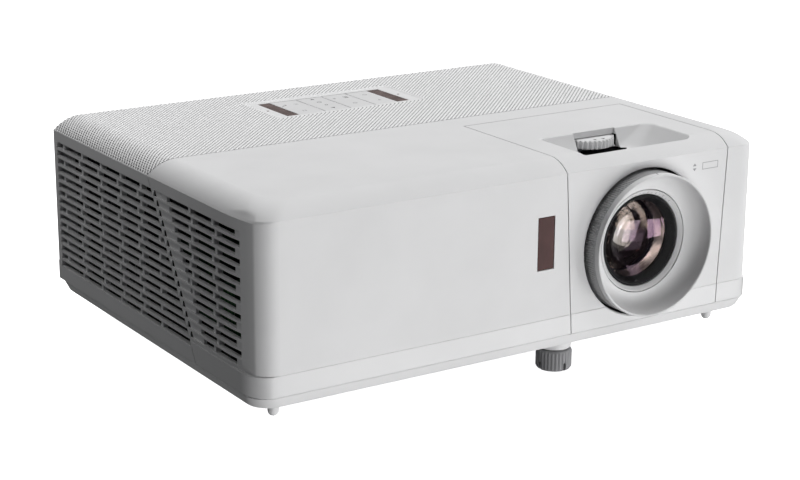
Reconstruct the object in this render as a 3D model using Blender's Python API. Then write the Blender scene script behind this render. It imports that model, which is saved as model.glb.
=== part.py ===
"""A desktop laser home projector with a manual zoom lens, built at rest.

Lengths are in millimetres in the body's own frame and turned to metres when a mesh is made. The body's frame has
x = 0 on the left side, y = 0 on the front face and z = 0 on the bottom edge of the case. The part's frame stands
on the feet, at the middle of the bounding box.
"""

import math

import bmesh
import bpy
from mathutils import Vector

# Driving dimensions, mm
WIDTH = 374.0
DEPTH = 274.9
HEIGHT = 118.6
FEET_DROP = 21.5
LENS_REACH = 11.5
WALL = 2.5
GAP = 0.35
CORNER_R = 16.0
SIDE_EDGE_Z = 110.2
SIDE_ARC_R = 28.0
FRONT_EDGE_Z = 111.4
FRONT_ARC_R = 31.4
TOP_INSET = 20.0
TRAY_TOP = 7.45

# Seams
SEAM_LOW = (73.6, 7.5)
SEAM_HIGH = (133.4, 110.6)
LENS_COVER_BACK = 112.2
LENS_COVER_OUTLINE = [
    (222.7, 7.9),
    (341.4, 7.9),
    (345.5, 111.4),
    (347.2, 118.6),
    (347.2, 130.0),
    (217.2, 130.0),
    (217.2, 118.6),
    (216.2, 111.4),
]

# Side grilles
ROW_PITCH = 5.45
ROW_TOP = 103.3
ROW_OPEN = 4.0
BACK_ROWS = 16
FRONT_ROWS = 15
GRILLE_BACK = 270.6
GRILLE_FRONT = 19.4
BAR = 3.0

# Lens, axis along y
LENS_X = 279.2
LENS_Z = 58.9
LENS_HOLE_R = 47.7
RING_R = 46.0

# Lens shift dial
DIAL_X = 281.7
DIAL_Y = 65.0
DIAL_R = 17.6
DIAL_Z = (110.0, 114.2)
POCKET_FLOOR = 106.1

# Key panel on the top cover
KEYS_X = (135.0, 231.6)
KEYS_Y = (199.0, 240.4)
KEY_EDGES = (144.2, 164.8, 184.8, 204.4, 222.5)
KEY_TOP = 118.1

# Feet
FRONT_FOOT = (227.0, 22.5)
BACK_FEET = {"left": (46.0, 250.0), "right": (328.0, 250.0)}

MM = 0.001
SHIFT = Vector((WIDTH / 2, (DEPTH - LENS_REACH) / 2, -FEET_DROP))

WHITE = (0.86, 0.86, 0.86, 1)
BLACK = (0.02, 0.02, 0.02, 1)
GREY = (0.18, 0.18, 0.19, 1)
STEEL = (0.6, 0.6, 0.62, 1)
ALLOY = (0.75, 0.76, 0.78, 1)
GLASS = (0.55, 0.5, 0.65, 1)
BOARD = (0.03, 0.16, 0.07, 1)
SMOKE = (0.08, 0.03, 0.03, 1)


# Scene and materials

def clear_scene():
    for obj in list(bpy.data.objects):
        bpy.data.objects.remove(obj)


def collection(name):
    made = bpy.data.collections.new(name)
    bpy.context.scene.collection.children.link(made)
    return made


def material(name, colour, metal=0.0, rough=0.5):
    made = bpy.data.materials.new(name)
    made.use_nodes = True
    shader = made.node_tree.nodes["Principled BSDF"]
    shader.inputs["Base Color"].default_value = colour
    shader.inputs["Metallic"].default_value = metal
    shader.inputs["Roughness"].default_value = rough
    return made


clear_scene()
PARTS = collection("home_projector")
CUTTERS = collection("cutters")
CUTTERS.hide_render = True


# Shapes

def node(name, bm, colour, metal=0.0, rough=0.5, at=(0.0, 0.0, 0.0)):
    """One named piece. The point `at`, in the body's frame, becomes the origin of the object."""
    bmesh.ops.recalc_face_normals(bm, faces=bm.faces)
    origin = Vector(at)
    for vertex in bm.verts:
        vertex.co = (vertex.co - origin) * MM
    mesh = bpy.data.meshes.new(name)
    bm.to_mesh(mesh)
    bm.free()
    obj = bpy.data.objects.new(name, mesh)
    obj.location = (origin - SHIFT) * MM
    PARTS.objects.link(obj)
    mesh.materials.append(material(name, colour, metal, rough))
    return obj


def cutter(name, bm):
    bmesh.ops.recalc_face_normals(bm, faces=bm.faces)
    for vertex in bm.verts:
        vertex.co = (vertex.co - SHIFT) * MM
    mesh = bpy.data.meshes.new(name)
    bm.to_mesh(mesh)
    bm.free()
    obj = bpy.data.objects.new(name, mesh)
    obj.hide_render = True
    obj.display_type = "WIRE"
    CUTTERS.objects.link(obj)
    return obj


def combine(obj, bm, operation, label):
    modifier = obj.modifiers.new(label, "BOOLEAN")
    modifier.operation = operation
    modifier.solver = "EXACT"
    modifier.object = cutter(f"{obj.name}_{label}", bm)
    return modifier


def cut(obj, bm, label):
    return combine(obj, bm, "DIFFERENCE", label)


def add(obj, bm, label):
    return combine(obj, bm, "UNION", label)


def keep(obj, bm, label):
    return combine(obj, bm, "INTERSECT", label)


def box_into(bm, low, high):
    corners = [(x, y, z) for x in (low[0], high[0]) for y in (low[1], high[1]) for z in (low[2], high[2])]
    made = [bm.verts.new(corner) for corner in corners]
    for face in ((0, 1, 3, 2), (4, 6, 7, 5), (0, 4, 5, 1), (2, 3, 7, 6), (0, 2, 6, 4), (1, 5, 7, 3)):
        bm.faces.new([made[i] for i in face])


def boxes(*pairs):
    bm = bmesh.new()
    for low, high in pairs:
        box_into(bm, low, high)
    return bm


def prism_into(bm, outline, axis, low, high):
    """An outline extruded along an axis. It is given as (y, z) for x, (x, z) for y and (x, y) for z."""
    ends = []
    for level in (low, high):
        points = []
        for a, b in outline:
            points.append({"x": (level, a, b), "y": (a, level, b), "z": (a, b, level)}[axis])
        ends.append([bm.verts.new(point) for point in points])
    bm.faces.new(ends[0])
    bm.faces.new(list(reversed(ends[1])))
    count = len(outline)
    for i in range(count):
        j = (i + 1) % count
        bm.faces.new([ends[0][i], ends[0][j], ends[1][j], ends[1][i]])


def prism(outline, axis, low, high):
    bm = bmesh.new()
    prism_into(bm, outline, axis, low, high)
    return bm


def on_axis(axis, centre, radius, along, angle):
    across = radius * math.cos(angle)
    up = radius * math.sin(angle)
    if axis == "y":
        return (centre[0] + across, along, centre[1] + up)
    if axis == "z":
        return (centre[0] + across, centre[1] + up, along)
    return (along, centre[0] + across, centre[1] + up)


def lathe_into(bm, profile, axis, centre, steps):
    """A closed (radius, along) profile turned about an axis through `centre`, given as the two other coordinates."""
    rings = []
    for radius, along in profile:
        if radius < 1e-6:
            rings.append([bm.verts.new(on_axis(axis, centre, 0.0, along, 0.0))])
            continue
        angles = [2 * math.pi * k / steps for k in range(steps)]
        rings.append([bm.verts.new(on_axis(axis, centre, radius, along, a)) for a in angles])
    for i, ring in enumerate(rings):
        after = rings[(i + 1) % len(rings)]
        if len(ring) == 1 and len(after) == 1:
            continue
        for k in range(steps):
            n = (k + 1) % steps
            if len(ring) == 1:
                bm.faces.new([ring[0], after[k], after[n]])
            elif len(after) == 1:
                bm.faces.new([ring[k], ring[n], after[0]])
            else:
                bm.faces.new([ring[k], ring[n], after[n], after[k]])


def lathe(profile, axis, centre, steps):
    bm = bmesh.new()
    lathe_into(bm, profile, axis, centre, steps)
    return bm


def rod_into(bm, axis, centre, radius, low, high, steps=24):
    lathe_into(bm, [(0.0, low), (radius, low), (radius, high), (0.0, high)], axis, centre, steps)


def rod(axis, centre, radius, low, high, steps=24):
    bm = bmesh.new()
    rod_into(bm, axis, centre, radius, low, high, steps)
    return bm


# Case

def inset_on_arc(z, radius):
    """How far the case has drawn in at this height, on an arc that meets the flat top at TOP_INSET."""
    rise = z - (HEIGHT - radius)
    return max(0.0, TOP_INSET - math.sqrt(max(0.0, radius * radius - rise * rise)))


def case_outline(side, front, back, corner):
    """Plan outline with two round front corners, drawn in by `side` and `front`."""
    steps = 8
    left = (side + corner, front + corner)
    right = (WIDTH - side - corner, front + corner)
    points = [(side, back)]
    for k in range(steps + 1):
        angle = math.pi + 0.5 * math.pi * k / steps
        points.append((left[0] + corner * math.cos(angle), left[1] + corner * math.sin(angle)))
    for k in range(steps + 1):
        angle = 1.5 * math.pi + 0.5 * math.pi * k / steps
        points.append((right[0] + corner * math.cos(angle), right[1] + corner * math.sin(angle)))
    points.append((WIDTH - side, back))
    return points


def loft_into(bm, levels):
    rings = [[bm.verts.new((x, y, z)) for x, y in outline] for outline, z in levels]
    bm.faces.new(rings[0])
    bm.faces.new(list(reversed(rings[-1])))
    count = len(rings[0])
    for low, high in zip(rings, rings[1:]):
        for i in range(count):
            j = (i + 1) % count
            bm.faces.new([low[i], low[j], high[j], high[i]])


def case_solid(inward, bottom, back):
    """The outside of the case drawn in by `inward` all round, from `bottom` to the top."""
    levels = []
    corner = CORNER_R - inward
    for z in (bottom, SIDE_EDGE_Z, FRONT_EDGE_Z, 112.9, 114.6, 116.2, 117.4, 118.2, HEIGHT):
        side = inset_on_arc(z, SIDE_ARC_R) if z > SIDE_EDGE_Z else 0.0
        front = inset_on_arc(z, FRONT_ARC_R) if z > FRONT_EDGE_Z else 0.0
        height = z if z == bottom else z - inward
        levels.append((case_outline(side + inward, front + inward, back, corner), height))
    bm = bmesh.new()
    loft_into(bm, levels)
    return bm


def seam_y(z):
    slope = (SEAM_HIGH[0] - SEAM_LOW[0]) / (SEAM_HIGH[1] - SEAM_LOW[1])
    return SEAM_LOW[0] + slope * (z - SEAM_LOW[1])


def case_shell(name):
    """The hollow upper case that each cover is a piece of. It has no floor and no back."""
    obj = node(name, case_solid(0.0, TRAY_TOP + GAP, DEPTH), WHITE, rough=0.45)
    cut(obj, case_solid(WALL, TRAY_TOP - 5, DEPTH + 5), "hollow")
    return obj


def seam_region(front):
    """Side view of all that lies in front of the seam, or behind it."""
    shift = -GAP / 2 if front else GAP / 2
    low = 0.0
    knee = SEAM_HIGH[1]
    edge = [(seam_y(low) + shift, low), (seam_y(knee) + shift, knee), (seam_y(knee) + shift, 140.0)]
    far = -30.0 if front else DEPTH + 30.0
    return prism(edge + [(far, 140.0), (far, low)], "x", -20.0, WIDTH + 20.0)


def row_span(index):
    top = ROW_TOP - ROW_PITCH * index
    return top - ROW_OPEN, top


def back_slots():
    """The rows of the back grille with one upright bar in each, through both sides at once."""
    pairs = []
    for index in range(BACK_ROWS):
        low, high = row_span(index)
        bars = [203.0] if index % 2 == 0 else [208.5]
        stop = seam_y(high) + 3.2
        start = GRILLE_BACK
        for bar in bars + [stop - BAR / 2]:
            if bar + BAR / 2 < stop - 1e-6:
                continue
            end = max(bar + BAR / 2, stop)
            if start - end > 3.0:
                pairs.append(((-5.0, end, low), (WIDTH + 5.0, start, high)))
            start = bar - BAR / 2
    return boxes(*pairs)


def front_slots():
    pairs = []
    for index in range(FRONT_ROWS):
        low, high = row_span(index)
        pairs.append(((-5.0, GRILLE_FRONT, low), (WIDTH + 5.0, seam_y(low) - 17.0, high)))
    return boxes(*pairs)


def build_front_cover():
    obj = case_shell("front_cover")
    keep(obj, seam_region(True), "seam")
    cut(obj, prism(LENS_COVER_OUTLINE, "y", -20.0, LENS_COVER_BACK), "lens_cover")
    cut(obj, front_slots(), "grilles")
    cut(obj, boxes(((195.3, -5.0, 52.8), (208.1, 6.0, 86.6))), "window")


def build_lens_cover():
    obj = case_shell("lens_cover")
    outline = [
        (223.1, 7.9),
        (341.0, 7.9),
        (345.1, 111.4),
        (346.8, 118.6),
        (346.8, 130.0),
        (217.6, 130.0),
        (217.6, 118.6),
        (216.6, 111.4),
    ]
    keep(obj, prism(outline, "y", -20.0, LENS_COVER_BACK - 0.4), "outline")
    cut(obj, rod("y", (LENS_X, LENS_Z), LENS_HOLE_R, -5.0, 9.0, 48), "lens")
    add(obj, boxes(((236.0, 9.8, POCKET_FLOOR - 1.6), (329.8, 60.6, 116.5))), "pocket")
    scoop = bmesh.new()
    high = [(237.8, 11.8), (328.4, 11.8), (328.4, 58.5), (237.8, 58.5)]
    low = [(239.6, 12.2), (306.9, 12.2), (306.9, 51.4), (239.6, 51.4)]
    loft_into(scoop, [(low, POCKET_FLOOR), (high, 119.6)])
    cut(obj, scoop, "scoop")
    cut(obj, boxes(((264.8, 50.5, POCKET_FLOOR + 0.3), (298.6, 58.75, 119.8))), "slot")
    cut(obj, boxes(((263.0, 56.0, POCKET_FLOOR + 0.3), (300.4, 64.0, 114.6))), "dial_room")


def build_top_cover():
    obj = case_shell("top_cover")
    keep(obj, seam_region(False), "seam")
    skirt = ((KEYS_X[0] - 1.8, KEYS_Y[0] - 1.8, 113.6), (KEYS_X[1] + 1.8, KEYS_Y[1] + 1.8, 117.5))
    add(obj, boxes(skirt), "key_skirt")
    cut(obj, boxes(((KEYS_X[0], KEYS_Y[0], 105.0), (KEYS_X[1], KEYS_Y[1], 125.0))), "keys")
    cut(obj, back_slots(), "grilles")


def build_base_tray():
    def outline(inset, corner):
        low, far = inset, DEPTH - inset
        right = WIDTH - inset
        points = []
        centres = [
            (low + corner, low + corner, math.pi),
            (right - corner, low + corner, 1.5 * math.pi),
            (right - corner / 2, far - corner / 2, 0.0),
            (low + corner / 2, far - corner / 2, 0.5 * math.pi),
        ]
        for index, (x, y, start) in enumerate(centres):
            radius = corner if index < 2 else corner / 2
            for k in range(5):
                angle = start + 0.5 * math.pi * k / 4
                points.append((x + radius * math.cos(angle), y + radius * math.sin(angle)))
        return points

    bm = bmesh.new()
    loft_into(bm, [(outline(5.5, 14), 0.0), (outline(3.2, 15), 1.4), (outline(0.8, 16), TRAY_TOP)])
    obj = node("base_tray", bm, WHITE, rough=0.45)
    hollow = bmesh.new()
    loft_into(hollow, [(outline(8.5, 11), WALL), (outline(4.2, 13), TRAY_TOP + 2)])
    cut(obj, hollow, "hollow")
    bosses = bmesh.new()
    x, y = FRONT_FOOT
    lathe_into(bosses, [(0, -7.0), (10.7, -7.0), (12.0, 1.2), (12.0, 20.0), (0, 20.0)], "z", (x, y), 24)
    for x, y in BACK_FEET.values():
        lathe_into(bosses, [(0, -9.0), (8.4, -9.0), (9.2, 1.2), (9.2, 20.0), (0, 20.0)], "z", (x, y), 16)
    for x in (22.0, 352.0):
        dome = [(0, -10.8), (1.9, -10.2), (3.1, -8.7), (3.4, -7.2), (3.6, 1.2), (0, 1.2)]
        lathe_into(bosses, dome, "z", (x, 20.0), 12)
    for x, y in ((110.0, 60.0), (290.0, 120.0), (110.0, 200.0)):
        rod_into(bosses, "z", (x, y), 7.0, -1.0, 1.2, 16)
    add(obj, bosses, "bosses")
    bores = bmesh.new()
    rod_into(bores, "z", FRONT_FOOT, 7.4, -12.0, 30.0, 20)
    for spot in BACK_FEET.values():
        rod_into(bores, "z", spot, 4.4, -12.0, 30.0, 16)
    cut(obj, bores, "bores")


# Feet

def build_feet():
    x, y = FRONT_FOOT
    top = -7.4
    stem = [(0, top), (7.0, top), (7.0, 19.0), (0, 19.0)]
    node("front_foot_stem", lathe(stem, "z", (x, y), 20), WHITE, at=(x, y, top))
    pad = [(0, -FEET_DROP), (9.8, -FEET_DROP), (11.2, -20.2), (11.5, -18.0), (11.5, -8.6), (10.8, -7.8), (0, -7.8)]
    knob = node("front_foot_knob", lathe(pad, "z", (x, y), 20), GREY, rough=0.7, at=(x, y, -FEET_DROP))
    notches = []
    for k in range(4):
        across = k % 2 == 0
        side = 1 if k < 2 else -1
        if across:
            low, high = (x + side * 9.9, y - 1.1, -24.0), (x + side * 13.0, y + 1.1, -17.0)
        else:
            low, high = (x - 1.1, y + side * 9.9, -24.0), (x + 1.1, y + side * 13.0, -17.0)
        ordered = [sorted(pair) for pair in zip(low, high)]
        notches.append((tuple(p[0] for p in ordered), tuple(p[1] for p in ordered)))
    cut(knob, boxes(*notches), "coin_notches")
    for side, (x, y) in BACK_FEET.items():
        stem = [(0, -9.8), (4.0, -9.8), (4.0, 19.0), (0, 19.0)]
        node(f"back_{side}_foot_stem", lathe(stem, "z", (x, y), 16), STEEL, 1.0, 0.35, at=(x, y, -9.8))
        pad = [(0, -FEET_DROP), (8.6, -FEET_DROP), (9.6, -20.4), (9.6, -11.2), (8.8, -10.2), (0, -10.2)]
        node(f"back_{side}_foot_pad", lathe(pad, "z", (x, y), 24), GREY, rough=0.7, at=(x, y, -FEET_DROP))


# Lens

def tube(name, profile, colour, metal=0.0, rough=0.5, steps=40, front=0.0):
    return node(name, lathe(profile, "y", (LENS_X, LENS_Z), steps), colour, metal, rough, (LENS_X, front, LENS_Z))


def dish(radius, sag, y, rim, steps=3):
    """The profile of one face of a lens, from its middle out. A positive sag brings the middle forward."""
    curve = (radius * radius + sag * sag) / (2 * abs(sag))
    points = []
    for k in range(steps + 1):
        r = radius * k / steps
        drop = curve - math.sqrt(curve * curve - r * r)
        points.append((r, y - sag + math.copysign(drop, sag)))
    return points + ([(rim, y)] if rim > radius else [])


def build_lens():
    ring = [
        (RING_R - 0.6, -LENS_REACH),
        (RING_R, -LENS_REACH + 0.6),
        (RING_R, 7.4),
        (37.3, 7.4),
        (37.3, 3.2),
        (33.5, 3.2),
        (33.5, 1.6),
        (40.5, -4.6),
        (44.9, -LENS_REACH),
    ]
    tube("zoom_ring", ring, WHITE, rough=0.4, steps=48, front=-LENS_REACH)
    inner = [(33.1, 1.9), (33.1, 12.0), (30.0, 12.0), (30.0, 3.6), (31.0, 3.0)]
    tube("focus_ring", inner, WHITE, rough=0.4, front=1.9)
    barrel = [
        (33.5, 3.6),
        (36.8, 3.6),
        (36.8, 100.0),
        (18.4, 100.0),
        (18.4, 94.0),
        (29.9, 94.0),
        (29.9, 12.4),
        (33.5, 12.4),
    ]
    tube("lens_barrel", barrel, BLACK, rough=0.5, front=3.6)
    cell = [
        (28.6, 4.0),
        (29.5, 4.6),
        (29.5, 36.0),
        (20.5, 36.0),
        (20.5, 22.0),
        (25.6, 22.0),
        (25.6, 9.8),
        (25.0, 9.8),
        (25.0, 9.0),
    ]
    tube("front_lens_cell", cell, BLACK, rough=0.35, front=4.0)
    front = dish(24.6, 5.0, 10.1, 25.3) + list(reversed(dish(25.3, -2.2, 14.0, 25.3)))
    tube("front_lens", front, GLASS, rough=0.03, steps=32, front=10.1)
    second = dish(20.2, 3.4, 25.5, 20.2) + list(reversed(dish(20.2, -3.4, 29.5, 20.2)))
    tube("second_lens", second, GLASS, rough=0.03, steps=24, front=25.5)
    carrier = [(29.5, 44.0), (29.5, 66.0), (19.6, 66.0), (19.6, 44.0)]
    tube("zoom_cell", carrier, BLACK, rough=0.4, front=44.0)
    moving = dish(19.3, 3.0, 50.0, 19.3) + list(reversed(dish(19.3, -4.0, 56.0, 19.3)))
    tube("zoom_lens", moving, GLASS, rough=0.03, steps=24, front=50.0)
    rear = dish(18.1, 1.6, 94.6, 18.1) + list(reversed(dish(18.1, -2.0, 97.6, 18.1)))
    tube("rear_lens", rear, GLASS, rough=0.03, steps=24, front=94.6)


def build_lens_shift():
    plate = ((224.0, 74.0, 14.0), (334.4, 78.0, 97.2))
    obj = node("lens_carriage", boxes(plate), ALLOY, 1.0, 0.45, at=(LENS_X, 76.0, LENS_Z))
    extras = boxes(
        ((221.0, 70.5, 14.2), (231.0, 81.5, 97.0)),
        ((327.4, 70.5, 14.2), (337.4, 81.5, 97.0)),
        ((266.0, 58.6, 96.6), (298.0, 77.8, 100.4)),
    )
    add(obj, extras, "guides")
    bores = bmesh.new()
    rod_into(bores, "y", (LENS_X, LENS_Z), 37.15, 60.0, 90.0, 40)
    for x in (226.0, 332.4):
        rod_into(bores, "z", (x, 76.0), 2.85, 0.0, 110.0, 12)
    rod_into(bores, "z", (DIAL_X, DIAL_Y), 3.35, 95.0, 104.0, 12)
    cut(obj, bores, "bores")
    for side, x in (("left", 226.0), ("right", 332.4)):
        node(f"lens_guide_rod_{side}", rod("z", (x, 76.0), 2.5, WALL + 0.3, 115.7, 12), STEEL, 1.0, 0.25)
    dial = [
        (0, DIAL_Z[0]),
        (DIAL_R - 0.4, DIAL_Z[0]),
        (DIAL_R, DIAL_Z[0] + 0.4),
        (DIAL_R, DIAL_Z[1] - 0.5),
        (DIAL_R - 0.5, DIAL_Z[1]),
        (0, DIAL_Z[1]),
    ]
    at = (DIAL_X, DIAL_Y, DIAL_Z[0])
    node("lens_shift_dial", lathe(dial, "z", (DIAL_X, DIAL_Y), 32), WHITE, rough=0.45, at=at)
    low_end = LENS_Z + 36.8 + 1.3 + 0.4  # clear of the barrel with the carriage fully raised
    screw = rod("z", (DIAL_X, DIAL_Y), 3.0, low_end, 109.7, 12)
    node("lens_shift_screw", screw, STEEL, 1.0, 0.3, at=(DIAL_X, DIAL_Y, low_end))


# Light source and engine

def build_light_path():
    housing = node("light_engine", boxes(((236.0, 104.0, WALL + 0.3), (326.0, 160.0, 98.0))), ALLOY, 1.0, 0.55)
    port = bmesh.new()
    rod_into(port, "y", (LENS_X, LENS_Z), 19.0, 100.0, 120.0, 24)
    cut(housing, port, "port")
    fins = [((245.0, 160.4, 20.0), (315.0, 166.0, 96.0))]
    for k in range(8):
        x = 245.0 + 9.6 * k
        fins.append(((x, 165.0, 20.0), (x + 2.8, 190.0, 96.0)))
    build_heatsink("chip_heatsink", fins)
    node("laser_module", boxes(((150.0, 104.0, WALL + 0.3), (232.0, 150.0, 80.0))), GREY, 0.6, 0.5)
    fins = [((152.0, 150.4, WALL + 0.3), (228.0, 157.0, 84.0))]
    for k in range(9):
        x = 152.0 + 9.15 * k
        fins.append(((x, 156.0, WALL + 0.3), (x + 2.8, 198.0, 84.0)))
    build_heatsink("laser_heatsink", fins)
    centre = (187.0, 48.0)
    motor = lathe([(0, 91.0), (11.0, 91.0), (12.0, 92.0), (12.0, 103.6), (0, 103.6)], "y", centre, 20)
    node("wheel_motor", motor, STEEL, 1.0, 0.35)
    disc = [(0, 88.0), (9.0, 88.0), (9.0, 89.0), (27.0, 89.0), (27.0, 90.2), (0, 90.2)]
    node("phosphor_wheel", lathe(disc, "y", centre, 32), (0.8, 0.75, 0.2, 1), at=(centre[0], 88.0, centre[1]))


def build_heatsink(name, fins):
    obj = node(name, boxes(fins[0]), ALLOY, 1.0, 0.5)
    add(obj, boxes(*fins[1:]), "fins")


# Fans

def build_fan(side, x):
    """A 92 mm axial fan just behind a side grille. Its rotor turns about x."""
    y, z, half, depth = 216.0, 49.2, 46.0, 25.0
    low, high = (x, y - half, z - half), (x + depth, y + half, z + half)
    frame = node(f"{side}_fan_frame", boxes((low, high)), BLACK, rough=0.6)
    cut(frame, rod("x", (y, z), 43.8, x - 5, x + depth + 5, 32), "duct")
    arms = boxes(((x + 21.0, y - 44.5, z - 3), (x + 24.0, y + 44.5, z + 3)), )
    add(frame, arms, "arms")
    hub = lathe([(0, x + 2.0), (18.0, x + 2.0), (19.0, x + 3.0), (19.0, x + 20.4), (0, x + 20.4)], "x", (y, z), 20)
    rotor = node(f"{side}_fan_rotor", hub, BLACK, rough=0.5, at=(x + 2.0, y, z))
    blades = bmesh.new()
    for k in range(7):
        turn = 2 * math.pi * k / 7
        blade_into(blades, x, (y, z), turn)
    add(rotor, blades, "blades")


def blade_into(bm, x, centre, turn):
    """One flat blade, twisted across the depth of the fan."""
    ends = []
    for along, lead in ((x + 4.0, -0.22), (x + 18.5, 0.22)):
        for thick in (-0.035, 0.035):
            for radius in (17.5, 42.4):
                angle = turn + lead + thick * 19.0 / radius * 1.6
                ends.append(bm.verts.new(on_axis("x", centre, radius, along, angle)))
    for face in ((0, 1, 3, 2), (4, 6, 7, 5), (0, 4, 5, 1), (2, 3, 7, 6), (0, 2, 6, 4), (1, 5, 7, 3)):
        bm.faces.new([ends[i] for i in face])


# Electronics

def build_boards():
    board = node("power_supply_board", boxes(((44.0, 24.0, 8.0), (140.0, 160.0, 9.6))), BOARD, rough=0.5)
    parts = boxes(
        ((48.0, 30.0, 9.0), (80.0, 62.0, 38.0)),
        ((90.0, 30.0, 9.0), (134.0, 58.0, 30.0)),
        ((50.0, 72.0, 9.0), (76.0, 110.0, 44.0)),
        ((88.0, 70.0, 9.0), (92.0, 150.0, 36.0)),
        ((104.0, 74.0, 9.0), (128.0, 98.0, 34.0)),
        ((52.0, 122.0, 9.0), (78.0, 146.0, 30.0)),
    )
    add(board, parts, "parts")
    legs = bmesh.new()
    for x in (50.0, 134.0):
        for y in (66.0, 154.0):
            rod_into(legs, "z", (x, y), 2.5, WALL + 0.3, 8.6, 8)
    add(board, legs, "legs")
    main = node("main_board", boxes(((74.0, 204.0, 24.0), (300.0, 271.0, 25.6))), BOARD, rough=0.5)
    parts = boxes(
        ((120.0, 214.0, 25.0), (150.0, 244.0, 31.0)),
        ((170.0, 212.0, 25.0), (190.0, 232.0, 28.0)),
        ((230.0, 214.0, 25.0), (244.0, 240.0, 29.0)),
    )
    add(main, parts, "parts")
    legs = bmesh.new()
    for x in (80.0, 294.0):
        for y in (210.0, 264.0):
            rod_into(legs, "z", (x, y), 2.5, WALL + 0.3, 24.6, 8)
    add(main, legs, "legs")
    low = (KEYS_X[0] - 1.6, KEYS_Y[0] - 1.6, 111.4)
    high = (KEYS_X[1] + 1.6, KEYS_Y[1] + 1.6, 113.2)
    node("keypad_board", boxes((low, high)), BOARD, rough=0.5)
    speaker = node("speaker", boxes(((340.0, 60.0, WALL + 0.3), (364.0, 130.0, 66.0))), BLACK, rough=0.6)
    cone = lathe([(0, 367.0), (27.0, 367.0), (27.0, 363.0), (10.0, 356.0), (0, 356.0)], "x", (95.0, 34.0), 24)
    cut(speaker, cone, "cone")


# Controls on the top and front

def build_keys():
    for index in range(4):
        low, high = KEY_EDGES[index] + 0.3, KEY_EDGES[index + 1] - 0.3
        plate = boxes(((low, KEYS_Y[0] + 0.4, 114.0), (high, KEYS_Y[1] - 0.4, KEY_TOP)))
        centre = ((low + high) / 2, (KEYS_Y[0] + KEYS_Y[1]) / 2, 114.0)
        node(f"key_plate_{index + 1}", plate, WHITE, rough=0.4, at=centre)
    for side, low, high in (
        ("left", KEYS_X[0] + 0.3, KEY_EDGES[0] - 0.3),
        ("right", KEY_EDGES[-1] + 0.3, KEYS_X[1] - 0.3),
    ):
        plate = boxes(((low, KEYS_Y[0] + 0.4, 113.5), (high, KEYS_Y[1] - 0.4, KEY_TOP)))
        node(f"key_window_{side}", plate, SMOKE, rough=0.15)
    node("receiver_window", boxes(((195.6, 0.1, 53.1), (207.8, 2.6, 86.3))), SMOKE, rough=0.1)


# Back panel and sockets

def socket_body(name, x, z, width, height, inner, back, depth, colour=BLACK, metal=0.0):
    """A box with a mouth at the back. `inner` is the (width, height) of the mouth."""
    obj = node(name, boxes(((x - width / 2, back, z - height / 2), (x + width / 2, DEPTH, z + height / 2))),
               colour, metal, 0.4)
    mouth = ((x - inner[0] / 2, DEPTH - depth, z - inner[1] / 2), (x + inner[0] / 2, DEPTH + 3, z + inner[1] / 2))
    cut(obj, boxes(mouth), "mouth")


SOCKETS = {
    "hdmi_socket_1": (96.0, 29.2, 15.6, 6.4, (14.0, 4.7), 262.0, 9.0),
    "hdmi_socket_2": (120.0, 29.2, 15.6, 6.4, (14.0, 4.7), 262.0, 9.0),
    "video_socket": (152.0, 32.4, 31.0, 12.8, (16.8, 8.4), 262.0, 6.0),
    "network_socket": (216.0, 32.9, 16.4, 13.8, (11.8, 8.4), 258.0, 12.0),
    "usb_socket": (240.0, 29.6, 14.6, 7.2, (12.6, 5.2), 262.0, 9.0),
    "serial_socket": (270.0, 32.4, 31.0, 12.8, (16.8, 8.4), 262.0, 6.0),
    "power_inlet": (52.0, 36.0, 30.0, 24.0, (24.6, 17.0), 252.0, 16.0),
}
JACKS = {"audio_in_jack": 180.0, "audio_out_jack": 194.0}
PANEL_SCREWS = {"left": 14.0, "right": 360.0}


def build_back():
    outline = [(WALL + 0.4, 7.8), (WIDTH - WALL - 0.4, 7.8)]
    right = [(side_reach(z), z) for z in (108.0, 109.6, 111.2, 112.6, 113.8, 114.8, 115.4)]
    outline += [(WIDTH - WALL - 0.4, 107.4)]
    outline += [(WIDTH - x, z) for x, z in right] + [(x, z) for x, z in reversed(right)]
    outline += [(WALL + 0.4, 107.4)]
    panel = node("back_panel", prism(outline, "y", 271.9, 274.3), WHITE, rough=0.5)
    holes = bmesh.new()
    for x, z, width, height, _, _, _ in SOCKETS.values():
        half_x, half_z = width / 2 + 0.35, height / 2 + 0.35
        box_into(holes, (x - half_x, 268.0, z - half_z), (x + half_x, 278.0, z + half_z))
    for x in JACKS.values():
        rod_into(holes, "y", (x, 30.4), 4.4, 268.0, 278.0, 16)
    for x in PANEL_SCREWS.values():
        lathe_into(holes, [(0, 268.0), (1.8, 268.0), (1.8, 273.2), (3.1, 273.2), (3.1, 278.0), (0, 278.0)],
                   "y", (x, 16.0), 12)
    cut(panel, holes, "holes")
    for name, (x, z, width, height, inner, back, depth) in SOCKETS.items():
        metal = 1.0 if name.startswith(("hdmi", "usb", "network")) else 0.0
        socket_body(name, x, z, width, height, inner, back, depth, STEEL if metal else BLACK, metal)
    for name, x in JACKS.items():
        jack = [(1.8, DEPTH - 9), (1.8, DEPTH), (4.0, DEPTH), (4.0, 262.0), (0, 262.0), (0, DEPTH - 9)]
        node(name, lathe(jack, "y", (x, 30.4), 16), BLACK, rough=0.4)
    for side, x in PANEL_SCREWS.items():
        screw = [(0, 266.0), (1.4, 266.0), (1.4, 273.5), (2.7, 273.5), (2.7, 274.6), (0, 274.6)]
        node(f"back_panel_screw_{side}", lathe(screw, "y", (x, 16.0), 12), STEEL, 1.0, 0.3)


def side_reach(z):
    """How far in the back panel's edge stands at this height, clear of the arc of the side."""
    return inset_on_arc(z + WALL, SIDE_ARC_R) + WALL + 0.45


build_base_tray()
build_front_cover()
build_lens_cover()
build_top_cover()
build_feet()
build_lens()
build_lens_shift()
build_light_path()
build_fan("left", 9.4)
build_fan("right", 339.6)
build_boards()
build_keys()
build_back()
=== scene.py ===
import math

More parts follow.
